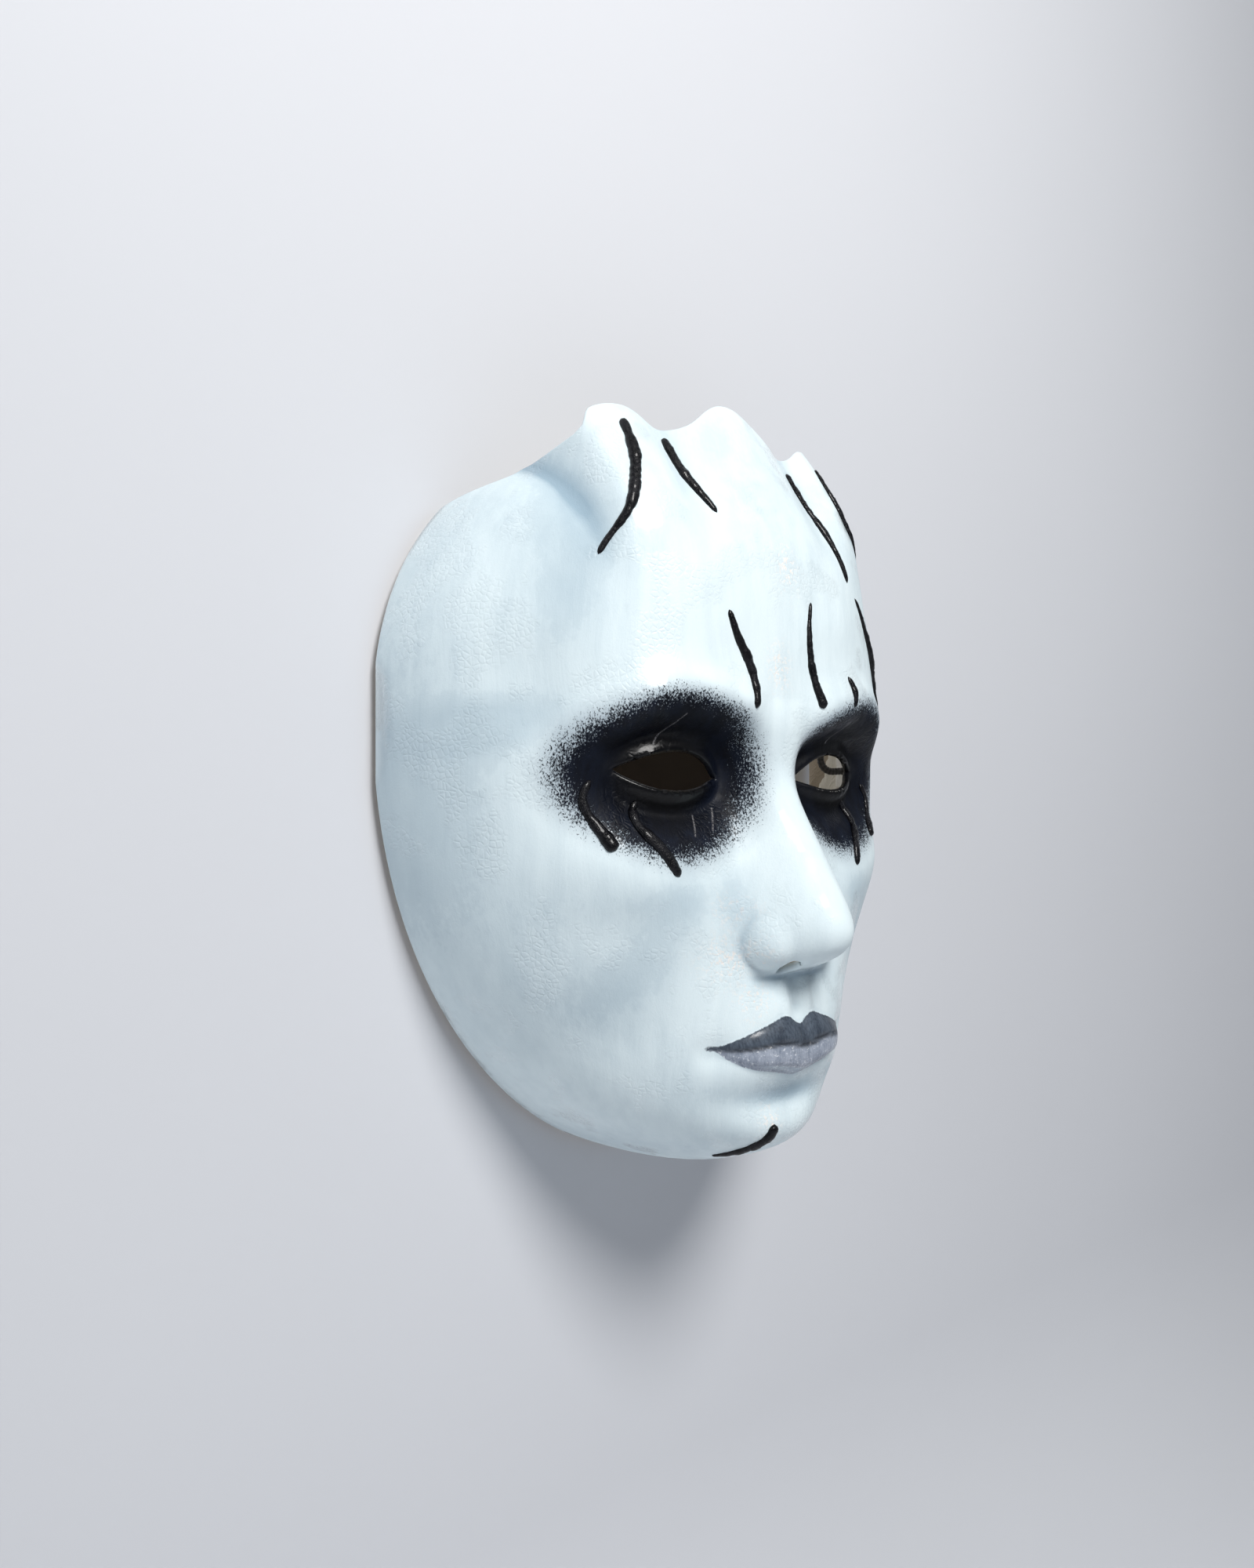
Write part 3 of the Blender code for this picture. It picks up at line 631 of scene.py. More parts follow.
def makeLiningPaper():
    made, tree, shader, place = newMaterial("liningPaper")
    fibre = useGroup(tree, paperFibre, {"Vector": place, "Fibre": 1500.0, "Strips": 30.0})
    colour = blendColour(tree, stretch(tree, fibre["Tone"], 0.2, 0.8), *plainLook["lining"])
    stain = stretch(tree, noise(tree, place, 24.0, 4.0, 0.6), 0.50, 0.72)
    colour = blendColour(tree, calc(tree, "MULTIPLY", stain, 0.35), colour, plainLook["liningStain"])
    colour = blendColour(tree, calc(tree, "MULTIPLY", fibre["Torn"], 0.30), colour, plainLook["liningTorn"])
    feed(tree, shader, colour=colour, roughness=stretch(tree, fibre["Tone"], 0.2, 0.8, 0.72, 0.92),
         normal=bump(tree, fibre["Height"], 0.0007))
    return made


def makePatchPaper():
    made, tree, shader, place = newMaterial("patchPaper")
    fibre = useGroup(tree, paperFibre, {"Vector": place, "Fibre": 2200.0, "Strips": 150.0})
    colour = blendColour(tree, stretch(tree, fibre["Tone"], 0.25, 0.75), *plainLook["patch"])
    colour = blendColour(tree, mark(tree, "edge"), colour, plainLook["patchEdge"])
    feed(tree, shader, colour=colour, roughness=stretch(tree, fibre["Tone"], 0.2, 0.8, 0.6, 0.85),
         normal=bump(tree, fibre["Height"], 0.00035))
    return made


def makeReliefPaint():
    made, tree, shader, place = newMaterial("reliefPaint")
    skinTone = noise(tree, place, 260.0, 3.0, 0.6)
    colour = blendColour(tree, stretch(tree, skinTone, 0.4, 0.7), *plainLook["relief"])
    height = calc(tree, "ADD", calc(tree, "MULTIPLY", skinTone, 0.6),
                  calc(tree, "MULTIPLY", noise(tree, place, 1500.0, 3.0, 0.7), 0.4))
    feed(tree, shader, colour=colour, roughness=stretch(tree, skinTone, 0.3, 0.7, 0.14, 0.36),
         specular=0.13, coat=0.26, coatRoughness=0.05, normal=bump(tree, height, 0.0007))
    return made


def makeLoopCord():
    made, tree, shader, place = newMaterial("loopCord")
    fuzz = noise(tree, place, 2600.0, 3.0, 0.7)
    colour = blendColour(tree, mark(tree, "strand"), *plainLook["cord"])
    feed(tree, shader, colour=colour, roughness=stretch(tree, fuzz, 0.3, 0.7, 0.42, 0.65), sheen=0.25,
         normal=bump(tree, fuzz, 0.00012))
    return made


def makeThread():
    made, tree, shader, place = newMaterial("sewingThread")
    twist = put(tree, "TexWave", {"Vector": place, "Scale": 900.0, "Distortion": 2.0}).outputs["Fac"]
    colour = blendColour(tree, twist, *plainLook["thread"])
    feed(tree, shader, colour=colour, roughness=0.55, normal=bump(tree, twist, 0.00008))
    return made


def makeBackdropPaper():
    # seen only from its front, so that the inside of the mask shows from behind
    made, tree, shader, place = newMaterial("backdropPaper")
    tone = noise(tree, place, 3.0, 3.0, 0.5)
    low = tuple(c * 0.97 for c in backdrop["colour"])
    colour = blendColour(tree, stretch(tree, tone, 0.3, 0.7), low, backdrop["colour"])
    # painted shade: inside an ellipse behind the mask the wall is coloured dark, so the mask's inside looks
    # dark
    (halfX, halfZ, height), paintedShadeColour = backdrop["pad"]
    shares = put(tree, "Mapping", {"Vector": place, "Location": (0, 0, -height / halfZ),
                                   "Scale": (1 / halfX, 0, 1 / halfZ)}).outputs["Vector"]
    reach = put(tree, "VectorMath", {0: shares}, operation="LENGTH").outputs["Value"]
    onWall = calc(tree, "GREATER_THAN", put(tree, "SeparateXYZ", {0: place}).outputs["Y"], 0.0)
    inPaintedShade = calc(tree, "MULTIPLY", stretch(tree, reach, 0.97, 1.0, 1.0, 0.0, smooth=True), onWall)
    colour = blendColour(tree, inPaintedShade, colour, paintedShadeColour)
    feed(tree, shader, colour=colour, roughness=0.9)
    behind = put(tree, "NewGeometry").outputs["Backfacing"]
    behind = calc(tree, "MAXIMUM", behind, put(tree, "LightPath").outputs["Is Shadow Ray"])
    clear = put(tree, "BsdfTransparent")
    either = put(tree, "MixShader", {0: behind, 1: shader.outputs[0], 2: clear.outputs[0]})
    tree.links.new(either.outputs[0], tree.nodes["Material Output"].inputs["Surface"])
    return made


finishes = {
    "whitePaint": makeWhitePaint(),
    "rawPulp": makePulp(),
    "liningPaper": makeLiningPaper(),
    "patchPaper": makePatchPaper(),
    "reliefPaint": makeReliefPaint(),
    "loopCord": makeLoopCord(),
    "thread": makeThread(),
    "backdrop": makeBackdropPaper(),
}
print("mask: finishes made")


def makeBackdrop():
    # a wall and a floor joined by a cove, one sheet
    reach, behind, drop, cove = (backdrop[k] for k in ("reach", "behind", "drop", "cove"))
    profile = [(behind, reach), (behind, -drop + cove)]
    for i in range(1, 9):
        turn = math.pi / 2 * i / 8
        profile.append((behind - cove * (1 - math.cos(turn)), -drop + cove * (1 - math.sin(turn))))
    profile.append((-reach, -drop))
    behindFloor = [(reach, -drop), (behind - cove, -drop)]
    for name, line in (("backdrop", profile), ("floorBehind", behindFloor)):
        form = bmesh.new()
        rails = [[form.verts.new((x, y, z)) for y, z in line] for x in (-reach, reach)]
        for i in range(len(line) - 1):
            form.faces.new((rails[0][i + 1], rails[0][i], rails[1][i], rails[1][i + 1]))
        form.normal_update()
        form.faces.ensure_lookup_table()
        mesh = bpy.data.meshes.new(name)
        facing = form.faces[0].normal
        if facing.z < -0.5 or facing.y > 0.5:
            bmesh.ops.reverse_faces(form, faces=form.faces)
        form.to_mesh(mesh)
        form.free()
        mesh.shade_smooth()
        mesh.materials.append(finishes["backdrop"])
        addToScene(name, mesh)


makeCamera()
makeLights()
makeBackdrop()

# the shell

shell = {
    "columns": 204,
    "rows": 224,
    "wall": 2.2,
    "edgeSteps": 4,
    "edgeRound": 0.34,    # how far the cut edges bulge, as a share of the wall
    "rimRound": 0.10,
    "nostril": (6.8, 73.5, 2.5, 4.3),  # across, forward, half width, half length
    "nostrilLean": 20.0,  # degrees, the two point together at the tip
    "nostrilSkew": 0.6,
    "nostrilHeights": (-52.5, -41.0),
    "normalPasses": 8,    # smoothing of the inside, which is softer than the outside
    "innerPasses": 6,
    "cavityShadePasses": 14,   # painted shade in the hollows, full where they lie this deep under a smoothed skin
    "cavityShadeDepth": 0.6,
    "edgeRows": 8,        # rows beside an edge over which the smoothing fades in
}


def spread(count, weight):
    # places from -1 to 1, closer together where the weight is high
    fine = np.linspace(-1, 1, 6001)
    run = np.cumsum(weight(fine))
    return np.interp(np.linspace(run[0], run[-1], count), run, fine)


def skinPoint(x, z):
    return np.stack([x, -skin(x, z), z], -1)


def blur(values, passes):
    for _ in range(passes):
        padded = np.pad(values, ((1, 1), (1, 1), (0, 0)), mode="edge")
        near = padded[:-2, 1:-1] + padded[2:, 1:-1] + padded[1:-1, :-2] + padded[1:-1, 2:]
        values = 0.5 * values + 0.125 * near
    return values


def gridNormals(points):
    side = np.gradient(points, axis=1)
    rise = np.gradient(points, axis=0)
    normal = np.cross(side, rise)
    normal /= np.maximum(np.linalg.norm(normal, axis=-1, keepdims=True), 1e-9)
    return normal


def gridFaces(rows, columns):
    number = np.arange(rows * columns).reshape(rows, columns)
    corners = [number[:-1, :-1], number[:-1, 1:], number[1:, 1:], number[1:, :-1]]
    return np.stack(corners, -1).reshape(-1, 4)


def eyeOutline(side, grow=0.0):
    turn = np.linspace(0, 2 * np.pi, 361)[:-1]
    a = eyeX + eyeHalf * np.cos(turn) * 0.9995
    upper, lower = eyeEdges(a)
    z = np.where(np.sin(turn) >= 0, upper, lower)
    return side * (a + grow * np.cos(turn)), z + grow * np.sin(turn)


def insideOutline(x, z, outlineX, outlineZ):
    # even-odd test for many places at once
    odd = np.zeros(x.shape, bool)
    nextX, nextZ = np.roll(outlineX, -1), np.roll(outlineZ, -1)
    for ax, az, bx, bz in zip(outlineX, outlineZ, nextX, nextZ):
        if az != bz:
            crosses = (az > z) != (bz > z)
            odd ^= crosses & (x < ax + (z - az) * (bx - ax) / (bz - az))
    return odd


def nostrilOutline(side):
    across, forward, halfX, halfF = shell["nostril"]
    turn = np.linspace(0, 2 * np.pi, 121)[:-1]
    lean = math.radians(shell["nostrilLean"])
    u, v = halfX * np.cos(turn), halfF * np.sin(turn)
    x = across + u * math.cos(lean) - v * math.sin(lean) * shell["nostrilSkew"]
    f = forward + u * math.sin(lean) + v * math.cos(lean)
    heights = np.linspace(*shell["nostrilHeights"], 240)
    z = [np.interp(fi, skin(np.full(len(heights), xi), heights), heights) for xi, fi in zip(x, f)]
    z = np.array(z)
    return side * x, z


smokePaint = {
    "middle": (33.0, 3.0),        # across and up
    "towardsTemple": 31.0,        # how far it reaches each way
    "towardsNose": 25.0,
    "up": 19.5,
    "riseAtTemple": 2.0,
    "down": 22.5,
    "squareness": 1.8,            # 2 would be an ellipse
    "core": 1.62,                 # strength in the middle, and how fast it falls
    "fall": 1.12,
}
lipPaint = {"softEdge": 2.4, "tail": 0.62, "lineHalf": 0.55}
lidReach = 3.4                    # the wet band round an eye opening
# crackled varnish, which also carries painted highlights: middle (x, z), half width and half height
glintSpots = [(-21, -33, 5, 4), (-22, -46, 7, 6), (-15, -57, 5, 5), (-3, 32, 4, 6),
              (-7, -91, 3, 5), (3, 60, 4, 7), (24, -40, 5, 6), (9, -98, 4, 3)]


def greyWashesAndShade(a, z):
    # grey washes from the temple down to the chin, mixed with painted shade: under the nose, the lower lip
    # and the chin, beside the nose, in the crown's valleys, under the plate's step and towards the rim at
    # each side
    return sum([
        1.0 * hill(a - 74, 13) * hill(z - 17 + 0.20 * (a - 66), 7.5),
        0.35 * hill(a - 80, 9) * ease(26, 10, z) * ease(-60, -10, z),
        0.75 * hill(a - 58 - 0.25 * (58 - z), 9) * hill(z - 50, 20),
        0.45 * hill(a - 60, 20) * hill(z - 70, 12),
        0.70 * hill(a - 47 + 0.5 * (z + 55), 12) * hill(z + 50, 20),
        0.40 * hill(a - 66, 12) * hill(z + 40, 22),
        0.85 * hill(a, 16) * hill(z + 83.5, 4.2),
        0.45 * hill(a - 24, 10) * hill(z + 82, 6),
        0.70 * hill(a - 9, 9) * hill(z + 53, 3.4),
        0.65 * hill(a - 19, 4.5) * hill(z + 34, 13),
        0.45 * hill(a - 40, 20) * hill(z + 30, 7),
        0.45 * hill(a - 24, 4.0) * ease(50, 90, z),
        0.60 * hill(a - 53, 4.0) * ease(52, 66, z) * ease(101, 90, z),
        0.50 * ease(68, 90, a),
        0.40 * hill(a - 26, 12) * hill(z + 104, 10),
    ])


def smokeReach(a, z):
    middleX, middleZ = smokePaint["middle"]
    power = smokePaint["squareness"]
    out = np.where(a > middleX, smokePaint["towardsTemple"], smokePaint["towardsNose"])
    up = smokePaint["up"] + smokePaint["riseAtTemple"] * ease(25, 45, a)
    tall = np.where(z > middleZ, up, smokePaint["down"])
    reach = (np.abs((a - middleX) / out) ** power + np.abs((z - middleZ) / tall) ** power) ** (1 / power)
    return np.clip(smokePaint["core"] - smokePaint["fall"] * reach, 0, 1.3)


def lipMarks(a, z):
    line = mouthLine(a)
    upper, lower = lipHeights(a)
    inside = np.minimum(line + upper - z, z - (line - lower))
    lips = np.clip(0.5 + inside / lipPaint["softEdge"], 0, 1.2) * ease(30, 24, a)
    tail = hill(z - line - 0.6, 1.5) * ease(20, 24, a) * ease(31, 25, a) * lipPaint["tail"]
    return {"lips": np.maximum(lips, tail), "lowerLip": ease(0.3, -0.5, z - line),
            "mouthLine": hill(z - line, lipPaint["lineHalf"]) * ease(25, 20, a)}


def lidMark(a, z):
    top, bottom = eyeEdges(np.clip(a, eyeX - eyeHalf, eyeX + eyeHalf))
    away = np.maximum(np.maximum(z - top, bottom - z), 0)
    away = np.hypot(away, np.maximum(np.abs(a - eyeX) - eyeHalf, 0))
    return np.exp(-(away / lidReach) ** 2)


def paintMarks(x, z):
    # where the painted effects lie, from 0 to 1
    a = np.abs(x)
    glint = 0.0
    for spotX, spotZ, wide, high in glintSpots:
        glint = np.maximum(glint, hill(x - spotX, wide) * hill(z - spotZ, high))
    marks = {"eyeSmoke": smokeReach(a, z), "lid": lidMark(a, z), "glint": glint,
             "washAndShade": np.clip(greyWashesAndShade(a, z), 0, 1)}
    marks.update(lipMarks(a, z))
    return marks


def makeMesh(name, points, faces, marks=None, materials=(), faceMaterial=None):
    mesh = bpy.data.meshes.new(name)
    mesh.from_pydata((points * mm).tolist(), [], [tuple(f) for f in faces])
    mesh.update()
    mesh.shade_smooth()
    for label, values in (marks or {}).items():
        made = mesh.attributes.new(label, "FLOAT", "POINT")
        made.data.foreach_set("value", np.ascontiguousarray(values, dtype=np.float32))
    for finish in materials:
        mesh.materials.append(finishes[finish])
    if faceMaterial is not None:
        mesh.polygons.foreach_set("material_index", np.ascontiguousarray(faceMaterial, dtype=np.int32))
    return mesh


def touched(count, faces):
    # the points that some face uses
    mask = np.zeros(count, bool)
    mask[faces.ravel()] = True
    return mask


def tubeFaces(number):
    # a tube through rows of numbered points, closed at both ends
    count, sides = number.shape
    faces = []
    for i in range(count - 1):
        for k in range(sides):
            j = (k + 1) % sides
            faces.append((number[i, k], number[i, j], number[i + 1, j], number[i + 1, k]))
    return faces + [tuple(number[0, ::-1]), tuple(number[-1])]


def faceOutward(mesh):
    form = bmesh.new()
    form.from_mesh(mesh)
    bmesh.ops.recalc_face_normals(form, faces=form.faces)
    form.to_mesh(mesh)
    form.free()


def addThickness(piece, thickness, offset):
    wall = piece.modifiers.new("thickness", "SOLIDIFY")
    wall.thickness = thickness * mm
    wall.offset = offset


def settle(piece, slot, *nodes):
    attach(piece, "root")
    if nodes:
        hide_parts(*nodes)
    return piece


def makeShell():
    across = spread(shell["columns"], lambda s: 1 + 0.9 * hill(s, 0.42) + 6 * hill(1 - np.abs(s), 0.02))
    upward = spread(shell["rows"], lambda t: 1 + 1.5 * hill(t + 0.41, 0.05) + 0.7 * hill(t + 0.6, 0.12)
                    + 0.7 * hill(t - 0.07, 0.13) + 6 * hill(1 - np.abs(t), 0.012))
    x = (halfWidth - sideFlat) * across
    low, high = rimBottom(np.abs(x)), crownEdge(np.abs(x))
    gridX = np.broadcast_to(x, (len(upward), len(x))).copy()
    gridZ = low + (high - low) * (upward[:, None] + 1) / 2
    outer = skinPoint(gridX, gridZ)
    outer[..., 1] = np.minimum(outer[..., 1], 0)
    border = np.zeros(gridX.shape, bool)
    border[0], border[-1], border[:, 0], border[:, -1] = True, True, True, True
    onRim = border & ((gridZ < widestZ) | (np.abs(gridX) > rimLeaves))
    outer[onRim, 1] = 0.0

    rows, columns = gridX.shape
    quads = gridFaces(rows, columns)
    flat = outer.reshape(-1, 3)
    centre = flat[quads].mean(1)
    keep = np.ones(len(quads), bool)
    outlines = []
    for side in (-1, 1):
        for outline in (eyeOutline(side), nostrilOutline(side)):
            hole = insideOutline(centre[:, 0], centre[:, 2], *outline)
            keep &= ~hole
            outlines.append((hole, outline))
    # the grid's corners beside each opening move onto its outline
    moved = flat.copy()
    snapped = np.zeros(len(flat), bool)
    for hole, (ox, oz) in outlines:
        inHole, outside = touched(len(flat), quads[hole]), touched(len(flat), quads[keep])
        line = skinPoint(ox, oz)
        for i in np.nonzero(inHole & outside)[0]:
            nearest = np.argmin(((line - flat[i]) ** 2).sum(1))
            moved[i] = line[nearest]
            snapped[i] = True
    outer = moved.reshape(rows, columns, 3)
    near = np.zeros((rows, columns), bool)
    held = snapped.reshape(rows, columns)
    for shiftR in (-2, -1, 0, 1, 2):
        for shiftC in (-2, -1, 0, 1, 2):
            near |= np.roll(held, (shiftR, shiftC), (0, 1))
    near &= ~held & ~border
    for _ in range(3):
        outer[near] = blur(outer, 1)[near]
        outer[near, 1] = -skin(outer[near][:, 0], outer[near][:, 2])

    normal = gridNormals(outer)
    smoothNormal = blur(normal, shell["normalPasses"])
    smoothNormal /= np.linalg.norm(smoothNormal, axis=-1, keepdims=True)
    inner = outer - smoothNormal * shell["wall"]
    relaxed = blur(inner, shell["innerPasses"])
    row, column = np.arange(rows), np.arange(columns)
    depth = np.minimum(np.minimum(row, rows - 1 - row)[:, None], np.minimum(column, columns - 1 - column))
    weight = np.clip(depth / shell["edgeRows"], 0, 1)[..., None] * ~held[..., None]
    inner = inner + (relaxed - inner) * weight
    inner[..., 1] = np.minimum(inner[..., 1], 0)
    inner[onRim, 1] = 0.0

    # painted shade: how deep each point lies below a smoothed copy of the skin
    concave = ((blur(outer, shell["cavityShadePasses"]) - outer) * normal).sum(-1)
    marks = paintMarks(outer[..., 0], outer[..., 2])
    marks["cavityShade"] = np.clip(concave / shell["cavityShadeDepth"], 0, 1)
    marks = {label: values.reshape(-1) for label, values in marks.items()}

    quads = quads[keep]
    total = rows * columns
    edges = {}
    for quad in quads.tolist():
        for a, b in zip(quad, quad[1:] + quad[:1]):
            edges[(a, b)] = True
    rimEdges = [(a, b) for a, b in edges if (b, a) not in edges]
    outFlat, inFlat = outer.reshape(-1, 3), inner.reshape(-1, 3)
    normals = smoothNormal.reshape(-1, 3)
    away = {}
    for a, b in rimEdges:
        direction = np.cross(outFlat[b] - outFlat[a], normals[a])
        for v in (a, b):
            away[v] = away.get(v, 0) + direction
    steps = shell["edgeSteps"]
    rimFlat = onRim.reshape(-1)
    extra, ring, cut = [], {}, []
    for v, direction in away.items():
        direction = direction / max(np.linalg.norm(direction), 1e-9)
        swell = shell["wall"] * (shell["rimRound"] if rimFlat[v] else shell["edgeRound"])
        middle, half = (outFlat[v] + inFlat[v]) / 2, (outFlat[v] - inFlat[v]) / 2
        ring[v] = [v]
        for k in range(1, steps):
            turn = math.pi * k / steps
            point = middle + half * math.cos(turn) + direction * swell * math.sin(turn)
            ring[v].append(2 * total + len(extra))
            extra.append(point)
            cut.append((v, 1.0 if rimFlat[v] else 0.0))
        ring[v].append(total + v)
    strips, stripKind = [], []
    for a, b in rimEdges:
        for k in range(steps):
            strips.append((ring[b][k], ring[a][k], ring[a][k + 1], ring[b][k + 1]))
            stripKind.append(1 if rimFlat[a] and rimFlat[b] and k > 0 else 0)
    points = np.concatenate([outFlat, inFlat, np.array(extra)])
    faces = np.concatenate([quads, quads[:, ::-1] + total, np.array(strips)])
    faceMaterial = np.concatenate([np.zeros(len(quads)), np.ones(len(quads)), stripKind])
    full = {}
    for label, values in marks.items():
        full[label] = np.concatenate([values, values, [values[v] for v, _ in cut]])
    full["cutEdge"] = np.concatenate([np.zeros(2 * total), [c for _, c in cut]])
    used = touched(len(points), faces)
    renumber = np.cumsum(used) - 1
    mesh = makeMesh("maskShell", points[used], renumber[faces], {k: v[used] for k, v in full.items()},
                    ("whitePaint", "rawPulp"), faceMaterial)
    settle(addToScene("mask_shell_fine", mesh), "white_paint", "mask_shell")
    print("mask: shell built,", len(faces), "faces")
    return inner, smoothNormal, across, upward


innerSkin, innerNormal, gridAcross, gridUpward = makeShell()

# the paper lining

lining = {
    "columns": 120,
    "rows": 132,
    "lift": 0.18,
    "thickness": 0.45,
    "sideInset": 0.012,
    "chinInset": 0.004,
    "crownInset": 0.045,
    "eyeGrowth": 2.6,
    "eyeWander": 0.12,
    "nostrilGap": 1.6,
    "nostrilHeights": (-51.5, -40.0),
}


def wavy(place, seed, size):
    total = 0
    for k, power in ((5, 1.0), (11, 0.6), (23, 0.45), (47, 0.25)):
        total = total + power * np.sin(place * k + seed * (k + 1.7))
    return total * size


def sampleGrid(values, s, t):
    column = np.interp(s, gridAcross, np.arange(len(gridAcross)))
    row = np.interp(t, gridUpward, np.arange(len(gridUpward)))
    c0 = np.clip(column.astype(int), 0, len(gridAcross) - 2)
    r0 = np.clip(row.astype(int), 0, len(gridUpward) - 2)
    fc, fr = (column - c0)[..., None], (row - r0)[..., None]
    low = values[r0, c0] * (1 - fc) + values[r0, c0 + 1] * fc
    high = values[r0 + 1, c0] * (1 - fc) + values[r0 + 1, c0 + 1] * fc
    return low * (1 - fr) + high * fr


def makeLining():
    s = spread(lining["columns"], lambda v: 1 + 2 * hill(1 - np.abs(v), 0.05))
    t = spread(lining["rows"], lambda v: 1 + 2 * hill(1 - np.abs(v), 0.05))
    gridS, gridT = np.meshgrid(s, t)
    side = lining["sideInset"] + wavy(gridT, 0.3, 0.0022)
    gridS = gridS * (1 - np.where(gridS < 0, side, lining["sideInset"] + wavy(gridT, 2.1, 0.0022)))
    top = lining["crownInset"] + wavy(gridS, 1.2, 0.006)
    bottom = lining["chinInset"] + np.abs(wavy(gridS, 0.7, 0.0008))
    gridT = gridT * np.where(gridT > 0, 1 - top, 1 - bottom)
    points = sampleGrid(innerSkin, gridS, gridT) - sampleGrid(innerNormal, gridS, gridT) * lining["lift"]
    rows, columns = gridS.shape
    quads = gridFaces(rows, columns)
    flat = points.reshape(-1, 3)
    tree = BVHTree.FromPolygons([Vector(p) for p in flat], quads.tolist())
    centre = flat[quads].mean(1)
    keep = np.ones(len(quads), bool)
    for way in (-1, 1):
        ox, oz = eyeOutline(way, lining["eyeGrowth"])
        turn = np.linspace(0, 2 * np.pi, len(ox))
        ox = ox + way * wavy(turn, 1.0, lining["eyeWander"])
        oz = oz + wavy(turn, 2.0, lining["eyeWander"])
        hole = insideOutline(centre[:, 0], centre[:, 2], ox, oz)
        keep &= ~hole
        inHole, outside = touched(len(flat), quads[hole]), touched(len(flat), quads[~hole])
        for i in np.nonzero(inHole & outside)[0]:
            nearest = np.argmin((ox - flat[i, 0]) ** 2 + (oz - flat[i, 2]) ** 2)
            hit = tree.ray_cast(Vector((ox[nearest], 5.0, oz[nearest])), Vector((0, -1, 0)))[0]
            if hit:
                flat[i] = hit
    across, forward, halfX, halfF = shell["nostril"]
    gap = lining["nostrilGap"]
    low, high = lining["nostrilHeights"]
    reach = ((np.abs(centre[:, 0]) - across) / (halfX + gap)) ** 2
    reach = reach + ((-centre[:, 1] - forward + gap) / (halfF + gap)) ** 2
    keep &= ~((reach < 1) & (centre[:, 2] > low) & (centre[:, 2] < high))
    quads = quads[keep]
    used = touched(len(flat), quads)
    renumber = np.cumsum(used) - 1
    mesh = makeMesh("innerLining", flat[used], renumber[quads][:, ::-1], None, ("liningPaper",))
    piece = addToScene("inner_lining_fine", mesh)
    addThickness(piece, lining["thickness"], 1.0)
    settle(piece, "lining_paper", "inner_lining")
    print("mask: lining laid")
    return BVHTree.FromPolygons([Vector(p) for p in flat], quads.tolist())


liningTree = makeLining()

# raised paint

bead = {
    "spacing": 0.55,
    "sides": 14,
    "height": 0.62,       # height of the bead as a share of its width's half
    "sink": 0.35,
    "roundOver": 1.3,     # the ends close over this length
    "unevenness": (0.16, 0.20, 0.30),  # of the width, fast and slow, and of the route
    "relax": 7,           # rings over which a line bridges small dips in the skin
}


def relax(values, reach):
    padded = np.pad(values, reach // 2, mode="edge")
    return np.convolve(padded, np.ones(reach) / reach, "valid")


# width at the start, the middle and the end of each line, as a share of its full width
strokeEnds = {
    "crown_stroke_right": (0.85, 1.0, 0.45),
    "crown_stroke_left": (0.7, 1.0, 0.4),
    "valley_stroke_right": (0.9, 1.0, 0.45),
    "valley_stroke_left": (0.8, 1.0, 0.5),
    "frown_stroke_right": (0.55, 1.0, 0.75),
    "frown_stroke_left": (0.4, 0.85, 1.0),
    "temple_stroke_left": (0.4, 1.0, 0.6),
    "brow_tick_left": (0.9, 1.0, 0.6),
    "outer_drip_right": (0.6, 0.85, 1.1),
    "inner_drip_right": (0.7, 1.0, 0.75),
    "outer_drip_left": (0.6, 0.85, 1.1),
    "inner_drip_left": (0.7, 1.0, 0.75),
    "chin_stroke": (0.9, 1.0, 0.35),
}


def alongPoints(points, spacing):
    knots = np.arange(len(points))
    lineX = smoothLine([(k, p[0]) for k, p in zip(knots, points)])
    lineZ = smoothLine([(k, p[1]) for k, p in zip(knots, points)])
    fine = np.linspace(0, len(points) - 1, 300)
    x, z = lineX(fine), lineZ(fine)
    f = skin(x, z)
    run = np.concatenate([[0], np.cumsum(np.sqrt(np.diff(x) ** 2 + np.diff(z) ** 2 + np.diff(f) ** 2))])
    places = np.linspace(0, run[-1], int(run[-1] / spacing) + 2)
    return np.interp(places, run, x), np.interp(places, run, z), places / run[-1], run[-1]


def skinNormals(x, z):
    step = 0.5
    slopeX = (skin(x + step, z) - skin(x - step, z)) / (2 * step)
    slopeZ = (skin(x, z + step) - skin(x, z - step)) / (2 * step)
    normal = np.stack([-slopeX, -np.ones_like(x), -slopeZ], -1)
    return normal / np.linalg.norm(normal, axis=-1, keepdims=True)


